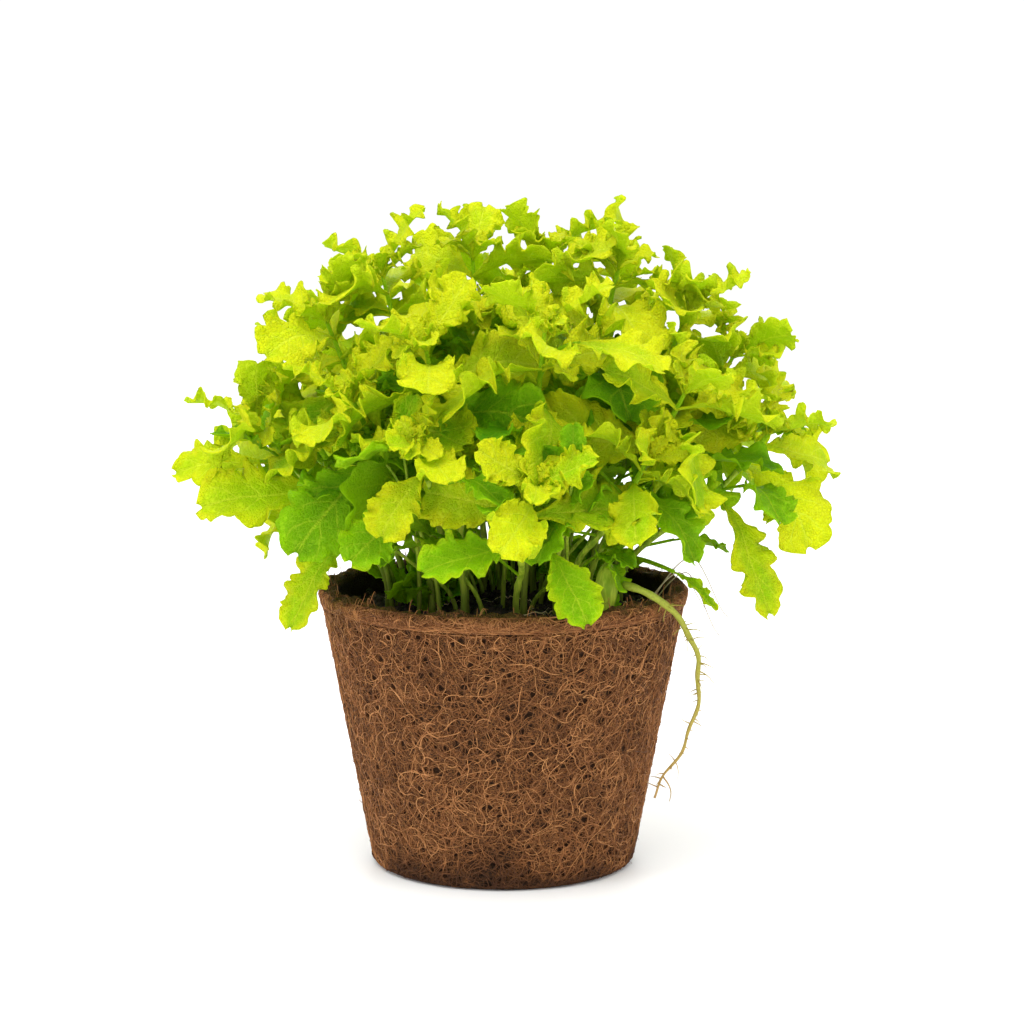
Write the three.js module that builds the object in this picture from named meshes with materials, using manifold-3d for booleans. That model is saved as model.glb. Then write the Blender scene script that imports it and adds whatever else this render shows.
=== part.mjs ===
// A potted alternanthera: a coir pot, its soil, and the stems, crowns and leaves of one bushy plant.
// Millimetres, +Z up. The origin is the middle of the pot's underside.
import * as THREE from "three";
import { mergeVertices } from "three/addons/utils/BufferGeometryUtils.js";
import Module from "manifold-3d";

const wasm = await Module();
wasm.setup();

// The pot
const potHeight = 92;
const rimRadius = 60;
const footRadius = 42.7;
const potWall = 4;
const floorThickness = 5;
const lipHeight = 7;
const lipStandsOut = 1.7;
const footRounding = 2.4;
const potSides = 44;

// The soil
const soilBelowRim = 8;
const soilMound = 3.5;
const soilBaseInset = 3;
const soilSides = 24;

// The plant. A thicker sheet, a wider crown or a taller one all grow by the same rules.
const touchGap = 0.3; // kept between any two pieces
const plantSpread = 1; // scales every place on the plant sideways
const plantRise = 1; // scales every height above the soil
const stemRadius = 1.25;
const stemSides = 5;
const stemSteps = 8;
const stemBedShare = 0.42; // how far out on the soil a stem stands, as a share of its tip's distance
const stemBedOffset = 4; // added to that
const stemBedEdge = 0.72; // and the furthest, as a share of the soil's radius
const stemStiffness = 0.42; // how far each end of a stem runs straight, as a share of the way between them
const hubHeight = 10; // the shoots lean away from this height above the middle of the soil
const tipUpturn = 0.55; // and their tips turn up by this share
const axisRadius = 1;
const axisSides = 5;
const axisBelowPairs = 3; // how far a crown's axis runs on below its lowest pair
const leafScale = 1;
const leafThickness = 1.1;
const leafFold = 0.16; // how far the edges lift, as a share of the half width
const leafSlim = 0.6; // width as a share of length
const leastRoll = 14; // a leaf turns about its own midrib by at least this, in degrees
const mostRoll = 48;
const pairTurn = 90; // each pair is turned by this against the one above
const stalkRadius = 0.7;
const stalkSides = 5;
const stalkSteps = 5;
const stalkPull = 0.45; // where a stalk starts to bend, as a share of its reach
const stalkRunsIn = 0.12; // how far it runs into its blade, as a share of the blade's length

// The swollen stem base and the root that trails over the rim
const swellRadius = 3.9;
const swellBearing = -47.5; // degrees from +X, anticlockwise from above
const swellOut = 0.928; // its distance from the pot's axis, as a share of the soil's radius
const swellAboveSoil = 15;
const swellSides = 10;
const rootRadius = 1.15;
const rootSides = 7;
const rootSteps = 30;

const up = new THREE.Vector3(0, 0, 1);
const soilTop = potHeight - soilBelowRim;
const soilTopRadius = innerRadius(soilTop) - touchGap;

// One shoot a row: where its tip is, how many pairs of leaves it carries and how far they are turned.
// Heights are above the soil.
const shoots = [
  { tip: [-39, 2, 109], pairs: 5, turn: 65 },
  { tip: [-10, 12, 114], pairs: 5, turn: 30 },
  { tip: [15, 8, 114], pairs: 5, turn: 80 },
  { tip: [37, -5, 112], pairs: 5, turn: 20 },
  { tip: [60, 0, 98], pairs: 5, turn: 60 },
  { tip: [75, 8, 82], pairs: 4, turn: 30 },
  { tip: [86, -8, 59], pairs: 3, turn: 35 },
  { tip: [-57, -4, 95], pairs: 5, turn: 60 },
  { tip: [-79, -13, 64], pairs: 3, turn: 50 },
  { tip: [13, -46, 96], pairs: 5, turn: 5 },
  { tip: [-24, -42, 90], pairs: 5, turn: 40 },
  { tip: [-26, -60, 61], pairs: 3, turn: 70, size: 0.72 },
  { tip: [9, -70, 50], pairs: 3, turn: 0 },
  { tip: [45, -50, 56], pairs: 3, turn: 35, size: 0.72 },
  { tip: [57, -40, 76], pairs: 4, turn: 65 },
  { tip: [-47, -36, 73], pairs: 4, turn: 25 },
  { tip: [-48, 38, 96], pairs: 5, turn: 55 },
  { tip: [-2, 52, 98], pairs: 5, turn: 15 },
  { tip: [44, 44, 93], pairs: 5, turn: 80 },
  { tip: [-70, 42, 60], pairs: 4, turn: 30 },
  { tip: [-24, 76, 58], pairs: 4, turn: 5 },
  { tip: [32, 76, 56], pairs: 4, turn: 45 },
  { tip: [72, 48, 60], pairs: 4, turn: 20 },
];

// The pairs of a shoot from its tip down: distance below the tip, leaf length, angle off the shoot, bend.
const ranks = [
  { below: 0, length: 22, spread: 34, bend: 30 },
  { below: 6, length: 29, spread: 56, bend: 45 },
  { below: 13, length: 33, spread: 74, bend: 58 },
  { below: 22, length: 35, spread: 82, bend: 62 },
  { below: 33, length: 35, spread: 80, bend: 60 },
];

// Large single leaves that hang or stand clear of the shoots: foot, tip, the way the blade faces, width, bend.
// Heights are above the soil.
const singleLeaves = [
  { foot: [-55, -20, 42], tip: [-95, -22, 37], face: [0, -0.75, 0.65], width: 21, bend: 25 },
  { foot: [-47, -24, 30], tip: [-67, -34, 1], face: [-0.6, -0.7, 0.3], width: 14, bend: 40 },
  { foot: [-29, -50, 40], tip: [-46, -62, 26], face: [-0.2, -0.8, 0.5], width: 16, bend: 35 },
  { foot: [4, -60, 32], tip: [-25, -77, 25], face: [0.1, -0.7, 0.7], width: 17, bend: 30 },
  { foot: [14, -58, 29], tip: [25, -76, 8], face: [0.2, -0.8, 0.5], width: 15, bend: 30 },
  { foot: [69, -20, 41], tip: [84, -25, 4], face: [0.5, -0.7, 0.4], width: 15, bend: 30 },
  { foot: [40, -37, 47], tip: [60, -44, 24], face: [0.5, -0.5, 0.7], width: 14, bend: 45 },
  { foot: [58, -30, 17], tip: [68, -38, 1], face: [0.7, -0.6, 0.4], width: 8, bend: 40 },
  { foot: [22, -48, 92], tip: [48, -62, 86], face: [0.2, -0.6, 0.8], width: 18, bend: 35 },
  { foot: [-76, -14, 51], tip: [-105, -12, 47], face: [0, -0.7, 0.7], width: 14, bend: 28 },
];

// The root's route from the swollen base, over the rim and down outside the pot: how far each point is past
// the rim's outer edge, its bearing in degrees, and its height against the rim.
const rootRoute = [
  { past: -2.3, bearing: -43.2, height: 5.6 },
  { past: 1.8, bearing: -39.1, height: 2.6 },
  { past: 6.3, bearing: -33.9, height: -3.5 },
  { past: 8.6, bearing: -30.7, height: -10.5 },
  { past: 10.3, bearing: -28.9, height: -17 },
  { past: 10.5, bearing: -27.9, height: -24 },
  { past: 10.4, bearing: -27.9, height: -30 },
  { past: 9.5, bearing: -28.3, height: -36 },
  { past: 8, bearing: -29, height: -42 },
  { past: 6.3, bearing: -29.9, height: -47 },
  { past: 3.7, bearing: -31.2, height: -52 },
  { past: 0.7, bearing: -32.9, height: -57.5 },
  { past: -1.8, bearing: -34.5, height: -63.5 },
];

// How far a leaf strays from its rule in degrees: at the first try, and what the last try adds.
const strayTurn = { first: 14, last: 40 };
const straySpread = { first: 6, last: 28 };
const strayBend = { first: 8, last: 22 };
const strayRoll = { first: 0, last: 20 };
const straySize = 0.08; // share of its length and width
const strayFoot = 3; // mm down the shoot at the last try
const strayPlace = 12; // mm, for a single leaf's foot and tip
const strayShrink = 0.55; // share of its size that a leaf has lost by the last try
const mostTries = 90;
const stemTries = 40;
const strayBearing = 24; // degrees that a stem's foot strays at the last try

// The pot's inner radius at a height, from the slope between its foot and its rim.
function innerRadius(height) {
  return footRadius + ((rimRadius - lipStandsOut - footRadius) * height) / potHeight - potWall;
}

// A place at a distance from the pot's axis, in a direction given in degrees.
function polar(radius, bearing, height) {
  const angle = THREE.MathUtils.degToRad(bearing);
  return new THREE.Vector3(Math.cos(angle) * radius, Math.sin(angle) * radius, height);
}

function soilHeight(radius) {
  return soilTop + soilMound * (1 - (radius / soilTopRadius) ** 2);
}

// A number from 0 to 1 that is always the same for the same seed.
function scatter(seed) {
  const value = Math.sin(seed * 12.9898 + 4.1414) * 43758.5453;
  return value - Math.floor(value);
}

function solidOf(geometry) {
  const bare = geometry.clone();
  bare.deleteAttribute("normal");
  bare.deleteAttribute("uv");
  const welded = mergeVertices(bare, 1e-4);
  const vertProperties = Float32Array.from(welded.attributes.position.array);
  const triVerts = Uint32Array.from(welded.index.array);
  return new wasm.Manifold(new wasm.Mesh({ numProp: 3, vertProperties, triVerts }));
}

function geometryOf(solid) {
  const mesh = solid.getMesh();
  const geometry = new THREE.BufferGeometry();
  geometry.setAttribute("position", new THREE.BufferAttribute(Float32Array.from(mesh.vertProperties), 3));
  geometry.setIndex(Array.from(mesh.triVerts));
  geometry.computeVertexNormals();
  return geometry;
}

// A round bar of constant radius along a curve.
function barGeometry(curve, radius, sides, steps) {
  const section = new THREE.Shape();
  for (let side = 0; side < sides; side++) {
    const angle = (side / sides) * Math.PI * 2;
    const x = Math.cos(angle) * radius;
    const y = Math.sin(angle) * radius;
    if (side === 0) section.moveTo(x, y);
    else section.lineTo(x, y);
  }
  return new THREE.ExtrudeGeometry(section, { steps, bevelEnabled: false, extrudePath: curve });
}

function turned(profile, sides) {
  const geometry = new THREE.LatheGeometry(profile, sides);
  return geometry.rotateX(Math.PI / 2);
}

function potGeometry() {
  const lipRoot = potHeight - lipHeight;
  const wallAt = (height) => innerRadius(height) + potWall;
  const profile = [
    new THREE.Vector2(0, 0),
    new THREE.Vector2(footRadius - footRounding, 0),
    new THREE.Vector2(footRadius - footRounding * 0.3, footRounding * 0.3),
    new THREE.Vector2(wallAt(footRounding), footRounding),
    new THREE.Vector2(wallAt(lipRoot - lipStandsOut), lipRoot - lipStandsOut),
    new THREE.Vector2(wallAt(lipRoot) + lipStandsOut, lipRoot),
    new THREE.Vector2(rimRadius, potHeight - lipStandsOut),
    new THREE.Vector2(rimRadius - lipStandsOut, potHeight),
    new THREE.Vector2(innerRadius(potHeight), potHeight),
    new THREE.Vector2(innerRadius(floorThickness), floorThickness),
    new THREE.Vector2(0, floorThickness),
  ];
  return turned(profile, potSides);
}

function soilGeometry() {
  const bottom = floorThickness + touchGap;
  const radiusAt = (height) => innerRadius(height) - touchGap * 1.5;
  const profile = [
    new THREE.Vector2(0, bottom),
    new THREE.Vector2(radiusAt(bottom) - soilBaseInset, bottom),
    new THREE.Vector2(radiusAt(soilTop), soilTop),
    new THREE.Vector2(soilTopRadius * 0.7, soilHeight(soilTopRadius * 0.7)),
    new THREE.Vector2(soilTopRadius * 0.35, soilHeight(soilTopRadius * 0.35)),
    new THREE.Vector2(0, soilHeight(0)),
  ];
  return turned(profile, soilSides);
}

function swellCentre() {
  const radius = soilTopRadius * swellOut;
  return polar(radius, swellBearing, soilHeight(radius) + swellAboveSoil);
}

// The swollen stem base: a neck on the soil, a bulging middle and a narrow top.
function swellGeometry() {
  const centre = swellCentre();
  const bottom = soilHeight(Math.hypot(centre.x, centre.y)) - centre.z + touchGap * 2;
  const profile = [
    new THREE.Vector2(0, bottom),
    new THREE.Vector2(swellRadius * 0.6, bottom),
    new THREE.Vector2(swellRadius * 0.5, bottom * 0.6),
    new THREE.Vector2(swellRadius * 0.85, -swellRadius * 0.6),
    new THREE.Vector2(swellRadius, swellRadius * 0.1),
    new THREE.Vector2(swellRadius * 0.8, swellRadius * 0.8),
    new THREE.Vector2(swellRadius * 0.35, swellRadius * 1.5),
    new THREE.Vector2(0, swellRadius * 1.6),
  ];
  return turned(profile, swellSides).translate(centre.x, centre.y, centre.z);
}

function rootGeometry() {
  const placed = ({ past, bearing, height }) => polar(rimRadius + past, bearing, potHeight + height);
  const hanging = rootRoute.map(placed);
  const centre = swellCentre();
  const away = hanging[0].clone().sub(centre).normalize();
  const start = centre.addScaledVector(away, swellRadius + rootRadius + touchGap);
  const points = [start, ...hanging];
  return barGeometry(new THREE.CatmullRomCurve3(points), rootRadius, rootSides, rootSteps);
}

// A place given above the soil, in the plant's own scale.
function plantPoint([x, y, z]) {
  return new THREE.Vector3(x * plantSpread, y * plantSpread, soilTop + z * plantRise);
}

// A shoot leans outward from the middle of the soil and turns up at its tip.
function shootDirection(tip) {
  const hub = new THREE.Vector3(0, 0, soilTop + hubHeight);
  return tip.clone().sub(hub).normalize().addScaledVector(up, tipUpturn).normalize();
}

// The line of a stem and of the crown's axis above it. The stem's foot strays sideways to keep it clear.
function shootLines(shoot, strayed) {
  const size = (shoot.size ?? 1) * leafScale;
  const tip = plantPoint(shoot.tip);
  const direction = shootDirection(tip);
  const axisLength = ranks[shoot.pairs - 1].below * size + axisBelowPairs;
  const lower = tip.clone().addScaledVector(direction, -axisLength);
  const stemEnd = lower.clone().addScaledVector(direction, -touchGap * 1.5);
  const reach = Math.min(Math.hypot(tip.x, tip.y) * stemBedShare + stemBedOffset, soilTopRadius * stemBedEdge);
  const bearing = THREE.MathUtils.radToDeg(Math.atan2(tip.y, tip.x)) + strayed * strayBearing;
  const foot = polar(reach, bearing, soilHeight(reach) + touchGap * 2);
  const rise = foot.distanceTo(stemEnd) * stemStiffness;
  const route = new THREE.CubicBezierCurve3(
    foot,
    foot.clone().addScaledVector(up, rise),
    stemEnd.clone().addScaledVector(direction, -rise),
    stemEnd,
  );
  return { size, tip, direction, lower, route };
}

// Rows across a leaf from foot to tip: place along the midrib and share of the full width.
const leafRows = [
  { along: 0, wide: 0.09 },
  { along: 0.26, wide: 0.45 },
  { along: 0.64, wide: 1 },
  { along: 1, wide: 0.34 },
];

// A leaf is a thin lens-shaped sheet on an arc. Its edges lift towards the face, and extra makes it
// larger all round, for testing how close it comes to its neighbours.
function leafGeometry(leaf, extra = 0, firstRow = 0) {
  const side = new THREE.Vector3().crossVectors(leaf.heading, leaf.face).normalize();
  const bend = Math.max(THREE.MathUtils.degToRad(leaf.bend), 0.02);
  const rows = leafRows.slice(firstRow);
  const points = [];
  for (const row of rows) {
    const angle = bend * row.along;
    const forward = (Math.sin(angle) / bend) * leaf.length;
    const fall = ((1 - Math.cos(angle)) / bend) * leaf.length;
    const middle = leaf.foot.clone().addScaledVector(leaf.heading, forward).addScaledVector(leaf.face, -fall);
    const heading = leaf.heading.clone().multiplyScalar(Math.cos(angle));
    heading.addScaledVector(leaf.face, -Math.sin(angle));
    const normal = leaf.face.clone().multiplyScalar(Math.cos(angle));
    normal.addScaledVector(leaf.heading, Math.sin(angle));
    if (row === rows[0]) middle.addScaledVector(heading, -extra);
    if (row === rows[rows.length - 1]) middle.addScaledVector(heading, extra);
    const half = (leaf.width * row.wide) / 2;
    const lift = half * leafFold;
    const thick = leafThickness / 2 + extra;
    const left = middle.clone().addScaledVector(side, -half - extra).addScaledVector(normal, lift);
    const right = middle.clone().addScaledVector(side, half + extra).addScaledVector(normal, lift);
    const over = middle.clone().addScaledVector(normal, thick);
    const under = middle.clone().addScaledVector(normal, -thick);
    points.push(left, over, right, under);
  }
  const index = [];
  for (let row = 0; row < rows.length - 1; row++) {
    for (let corner = 0; corner < 4; corner++) {
      const a = row * 4 + corner;
      const b = row * 4 + ((corner + 1) % 4);
      index.push(a, b, b + 4, a, b + 4, a + 4);
    }
  }
  const last = (rows.length - 1) * 4;
  index.push(0, 3, 1, 1, 3, 2);
  index.push(last, last + 1, last + 3, last + 1, last + 2, last + 3);
  const geometry = new THREE.BufferGeometry();
  geometry.setAttribute("position", new THREE.Float32BufferAttribute(points.flatMap((p) => p.toArray()), 3));
  geometry.setIndex(index);
  return geometry;
}

// Everything that has grown so far, with its owner's name, so that what grows next keeps clear of it.
const grown = [];

function record(owner, geometry) {
  geometry.computeBoundingBox();
  grown.push({ owner, box: geometry.boundingBox.clone(), solid: solidOf(geometry) });
}

function isClear(geometry, ignored) {
  geometry.computeBoundingBox();
  const box = geometry.boundingBox;
  const near = grown.filter((other) => !ignored.includes(other.owner) && other.box.intersectsBox(box));
  if (near.length === 0) return true;
  const solid = solidOf(geometry);
  return near.every((other) => solid.intersect(other.solid).isEmpty());
}

// A leaf of a shoot: rank is its pair, count its place in the whole crown and shift how far it strays.
function shootLeaf(shoot, lines, rank, which, shift, seed) {
  const stray = (part) => (scatter(seed + part) - 0.5) * 2;
  const least = (rule) => rule.first + rule.last * shift;
  const { below, length, spread, bend } = ranks[rank];
  const across = new THREE.Vector3().crossVectors(up, lines.direction);
  if (across.lengthSq() === 0) across.set(1, 0, 0);
  across.normalize();
  const other = new THREE.Vector3().crossVectors(lines.direction, across).normalize();
  const around = shoot.turn + rank * pairTurn + which * 180 + stray(1) * least(strayTurn);
  const angle = THREE.MathUtils.degToRad(around);
  const radial = across.multiplyScalar(Math.cos(angle)).addScaledVector(other, Math.sin(angle));
  const open = THREE.MathUtils.degToRad(spread + stray(2) * least(straySpread));
  const heading = lines.direction.clone().multiplyScalar(Math.cos(open));
  heading.addScaledVector(radial, Math.sin(open));
  const face = lines.direction.clone().multiplyScalar(Math.sin(open));
  face.addScaledVector(radial, -Math.cos(open));
  const shrink = 1 - Math.max(0, shift * 2 - 1) * strayShrink;
  const rollDegrees = leastRoll + Math.abs(stray(6)) * (mostRoll - leastRoll + least(strayRoll));
  const roll = THREE.MathUtils.degToRad(stray(6) > 0 ? rollDegrees : -rollDegrees);
  face.applyAxisAngle(heading.normalize(), roll);
  const grownLength = length * lines.size * (1 + stray(3) * straySize) * shrink;
  const down = below * lines.size + axisRadius / 2 + scatter(seed) * shift * strayFoot;
  return {
    foot: lines.tip.clone().addScaledVector(lines.direction, -down),
    heading,
    face: face.normalize(),
    length: grownLength,
    width: grownLength * leafSlim * (1 + stray(4) * straySize),
    bend: bend + stray(5) * least(strayBend),
  };
}

// The tries for one leaf stray further and further from the rule and shrink towards the end.
function growLeaf(owner, ignored, make) {
  for (let attempt = 0; attempt < mostTries; attempt++) {
    const shift = attempt / mostTries;
    const leaf = make(shift, attempt);
    const clearOfOthers = isClear(leafGeometry(leaf, touchGap), ignored);
    if (clearOfOthers && isClear(leafGeometry(leaf, touchGap, 1), ignored.filter((name) => name !== owner))) {
      return leaf;
    }
  }
  return null;
}

// The nearest place on any stem or crown axis. One above the point counts as further off than one below.
function nearestOnStems(point) {
  const stemPlaces = 40;
  const axisPlaces = 8;
  const climbCost = 0.8;
  let best = null;
  for (const { route, lower, tip } of shootLineList) {
    const axis = new THREE.LineCurve3(lower, tip);
    for (const place of [...route.getPoints(stemPlaces), ...axis.getPoints(axisPlaces)]) {
      const distance = place.distanceTo(point) + Math.max(0, place.z - point.z) * climbCost;
      if (best === null || distance < best.distance) best = { distance, place };
    }
  }
  return best.place;
}

// A single leaf is a blade on a stalk that reaches to the nearest stem.
function singleLeaf(spec, shift, seed) {
  const stray = (part) => (scatter(seed + part) - 0.5) * 2 * shift * strayPlace;
  const size = leafScale * (1 - shift * strayShrink);
  const foot = plantPoint(spec.foot).add(new THREE.Vector3(stray(1), stray(2), stray(3)));
  const tip = plantPoint(spec.tip).add(new THREE.Vector3(stray(4), stray(5), stray(6)));
  const chord = tip.clone().sub(foot);
  const facing = new THREE.Vector3(...spec.face);
  const side = new THREE.Vector3().crossVectors(chord, facing).normalize();
  const bend = THREE.MathUtils.degToRad(spec.bend);
  const along = chord.clone().normalize();
  const heading = along.clone().applyAxisAngle(side, bend / 2);
  const face = new THREE.Vector3().crossVectors(side, heading).normalize();
  const length = (chord.length() * (bend / 2)) / Math.sin(bend / 2);
  return { foot, heading, face, length: length * size, width: spec.width * size, bend: spec.bend };
}

function stalkCurve(leaf) {
  const joint = nearestOnStems(leaf.foot);
  const reach = leaf.foot.distanceTo(joint);
  const pull = leaf.foot.clone().addScaledVector(leaf.heading, -reach * stalkPull);
  const start = joint.clone().lerp(pull, Math.min(1, (stemRadius + stalkRadius + touchGap * 2) / reach));
  const end = leaf.foot.clone().addScaledVector(leaf.heading, leaf.length * stalkRunsIn);
  return new THREE.QuadraticBezierCurve3(start, pull, end);
}

const plant = new THREE.Group();

function addMesh(name, geometry, colour, roughness) {
  const material = new THREE.MeshStandardMaterial({ color: colour, roughness, metalness: 0 });
  const mesh = new THREE.Mesh(geometry, material);
  mesh.name = name;
  plant.add(mesh);
}

function numbered(stemName, count) {
  return stemName + "_" + String(count + 1).padStart(2, "0");
}

// The pot, the soil, the swollen base and the root
const coirColour = 0x8f5a32;
const soilColour = 0x1d1712;
const swellColour = 0xb9cf7a;
const rootColour = 0xa9b25c;
addMesh("pot", potGeometry(), coirColour, 0.95);
addMesh("soil", soilGeometry(), soilColour, 1);
addMesh("swollen_base", swellGeometry(), swellColour, 0.5);
addMesh("trailing_root", rootGeometry(), rootColour, 0.6);
for (const mesh of plant.children) record(mesh.name, mesh.geometry);

// The stems and the axes of the crowns come first, then the leaves grow between them.
const stemColour = 0x9dbf52;
const leafColour = 0xa3cc1e;

// A shoot's lines at the first try whose stem and axis keep clear of what stands already.
function clearLines(shoot, count) {
  let lines = shootLines(shoot, 0);
  for (let attempt = 1; attempt < stemTries && !linesAreClear(lines); attempt++) {
    const side = scatter(count + attempt) > 0.5 ? 1 : -1;
    lines = shootLines(shoot, (side * attempt) / stemTries);
  }
  return lines;
}

function linesAreClear({ route, lower, tip }) {
  const stem = barGeometry(route, stemRadius + touchGap, stemSides, stemSteps);
  const axis = barGeometry(new THREE.LineCurve3(lower, tip), axisRadius + touchGap, axisSides, 1);
  return isClear(stem, ["soil"]) && isClear(axis, []);
}

const shootLineList = [];
const crowns = shoots.map((shoot, count) => {
  const lines = clearLines(shoot, count);
  shootLineList.push(lines);
  const stem = barGeometry(lines.route, stemRadius, stemSides, stemSteps);
  addMesh(numbered("stem", count), stem, stemColour, 0.5);
  record(numbered("stem", count), stem);
  const axis = barGeometry(new THREE.LineCurve3(lines.lower, lines.tip), axisRadius, axisSides, 1);
  record(numbered("crown", count), axis);
  return { name: numbered("crown", count), solid: solidOf(axis) };
});

const singleSeedStep = 50;
singleLeaves.forEach((spec, count) => {
  const name = numbered("leaf", count);
  let leaf = singleLeaf(spec, 0, count);
  for (let attempt = 0; attempt < mostTries; attempt++) {
    leaf = singleLeaf(spec, attempt / mostTries, count * singleSeedStep + attempt);
    const stalk = barGeometry(stalkCurve(leaf), stalkRadius + touchGap, stalkSides, stalkSteps);
    if (isClear(leafGeometry(leaf, touchGap), [name]) && isClear(stalk, [name])) break;
  }
  const stalk = barGeometry(stalkCurve(leaf), stalkRadius, stalkSides, stalkSteps);
  const whole = geometryOf(solidOf(leafGeometry(leaf)).add(solidOf(stalk)));
  addMesh(name, whole, leafColour, 0.45);
  record(name, whole);
});

// Each leaf and each of its tries has its own seed.
function leafSeed(count, rank, which, attempt) {
  return count * 7.3 + rank * 31.7 + which * 3.9 + attempt * 17;
}

for (let rank = 0; rank < ranks.length; rank++) {
  shoots.forEach((shoot, count) => {
    if (rank >= shoot.pairs) return;
    const crown = crowns[count];
    const lines = shootLineList[count];
    for (const which of [0, 1]) {
      const seed = (attempt) => leafSeed(count, rank, which, attempt);
      const make = (shift, attempt) => shootLeaf(shoot, lines, rank, which, shift, seed(attempt));
      const leaf = growLeaf(crown.name, [crown.name], make);
      if (leaf === null) continue;
      const geometry = leafGeometry(leaf);
      crown.solid = crown.solid.add(solidOf(geometry));
      record(crown.name, geometry);
    }
  });
}

for (const crown of crowns) addMesh(crown.name, geometryOf(crown.solid), leafColour, 0.45);

export default plant;
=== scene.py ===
# A potted alternanthera: frilly chartreuse leaves on pale stems, dark soil and a coir pot.
import math

import bpy
import numpy as np
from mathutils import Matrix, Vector


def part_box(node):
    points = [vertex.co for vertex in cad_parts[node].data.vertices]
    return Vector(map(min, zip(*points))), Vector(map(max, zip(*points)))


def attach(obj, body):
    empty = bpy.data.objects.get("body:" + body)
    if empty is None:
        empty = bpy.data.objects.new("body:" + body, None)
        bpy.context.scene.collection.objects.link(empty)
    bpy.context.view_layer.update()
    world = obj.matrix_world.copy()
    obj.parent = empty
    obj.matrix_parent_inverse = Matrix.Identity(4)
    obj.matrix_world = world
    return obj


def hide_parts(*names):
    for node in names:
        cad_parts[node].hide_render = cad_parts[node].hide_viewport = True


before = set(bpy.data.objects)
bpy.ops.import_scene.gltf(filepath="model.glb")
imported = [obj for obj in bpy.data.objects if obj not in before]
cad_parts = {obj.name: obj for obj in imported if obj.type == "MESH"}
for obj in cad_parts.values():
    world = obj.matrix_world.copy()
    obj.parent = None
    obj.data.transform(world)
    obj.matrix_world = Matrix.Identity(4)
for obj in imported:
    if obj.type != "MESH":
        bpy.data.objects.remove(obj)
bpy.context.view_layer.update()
nodeNames = sorted(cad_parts)
print("frame loaded:", len(nodeNames), "nodes")


class Wire:
    # an output socket that can be added, multiplied and so on
    def __init__(self, tree, socket=None):
        self.tree = tree
        self.socket = socket

    def node(self, kind, settings=None, sockets=None, out=0):
        # any node: its settings first, then the values or links of its sockets
        made = self.tree.nodes.new(kind)
        for key, value in (settings or {}).items():
            if key == "stops":
                fillRamp(made.color_ramp, value)
            else:
                setattr(made, key, value)
        for key, value in (sockets or {}).items():
            if isinstance(value, Wire):
                self.tree.links.new(value.socket, made.inputs[key])
            else:
                made.inputs[key].default_value = value
        return Wire(self.tree, made.outputs[out])

    def maths(self, operation, *values):
        return self.node("ShaderNodeMath", {"operation": operation}, dict(enumerate(values)))

    def __add__(self, other):
        return self.maths("ADD", self, other)

    def __radd__(self, other):
        return self.maths("ADD", other, self)

    def __sub__(self, other):
        return self.maths("SUBTRACT", self, other)

    def __rsub__(self, other):
        return self.maths("SUBTRACT", other, self)

    def __mul__(self, other):
        return self.maths("MULTIPLY", self, other)

    def __rmul__(self, other):
        return self.maths("MULTIPLY", other, self)

    def __abs__(self):
        return self.maths("ABSOLUTE", self)

    def between(self, low, high):  # 0 below low, 1 above high, smooth between
        settings = {"interpolation_type": "SMOOTHSTEP"}
        return self.node("ShaderNodeMapRange", settings, {"Value": self, "From Min": low, "From Max": high})

    def mix(self, first, second):  # two colours, with this wire as the share of the second
        return self.node("ShaderNodeMix", {"data_type": "RGBA"}, {"Factor": self, 6: first, 7: second}, out=2)

    def ramp(self, *stops):  # a colour for each place from 0 to 1
        return self.node("ShaderNodeValToRGB", {"stops": stops}, {"Fac": self})


def fillRamp(ramp, stops):
    while len(ramp.elements) < len(stops):
        ramp.elements.new(1.0)
    for element, (place, colour) in zip(ramp.elements, stops):
        element.position = place
        element.color = colour


def paint(name, recipe, translucent=None):
    # recipe(start) returns the wires for the Principled sockets; plain numbers are set on the sockets
    material = bpy.data.materials.new(name)
    material.use_nodes = True
    tree = material.node_tree
    shader = tree.nodes["Principled BSDF"]
    output = tree.nodes["Material Output"]
    for key, value in recipe(Wire(tree)).items():
        if isinstance(value, Wire):
            tree.links.new(value.socket, shader.inputs[key])
        else:
            shader.inputs[key].default_value = value
    if translucent:
        glow = tree.nodes.new("ShaderNodeBsdfTranslucent")
        glow.inputs["Color"].default_value = translucent["colour"]
        both = tree.nodes.new("ShaderNodeMixShader")
        both.inputs[0].default_value = translucent["share"]
        tree.links.new(shader.outputs[0], both.inputs[1])
        tree.links.new(glow.outputs[0], both.inputs[2])
        tree.links.new(both.outputs[0], output.inputs[0])
    return material


def attribute(start, name, out=2):  # 2 is the value, 1 the vector
    return start.node("ShaderNodeAttribute", {"attribute_name": name}, out=out)


def objectPlace(start):
    return start.node("ShaderNodeTexCoord", out=3)


def grain(start, scale, detail=3.0, rough=0.55, at=None):
    sockets = {"Vector": at or objectPlace(start), "Scale": scale, "Detail": detail, "Roughness": rough}
    return start.node("ShaderNodeTexNoise", None, sockets)


def cellEdge(start, scale, at=None):  # the distance to the nearest edge of a net of cells
    sockets = {"Vector": at or objectPlace(start), "Scale": scale}
    return start.node("ShaderNodeTexVoronoi", {"feature": "DISTANCE_TO_EDGE"}, sockets)


def bumped(start, height, strength, distance):
    return start.node("ShaderNodeBump", None, {"Height": height, "Strength": strength, "Distance": distance})


def scatter(seed, count=1):
    # repeatable numbers from 0 to 1
    return np.random.RandomState(int(seed) % 4294967291).rand(count)


def unit(vectors):
    return vectors / np.maximum(np.linalg.norm(vectors, axis=-1, keepdims=True), 1e-12)


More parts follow.
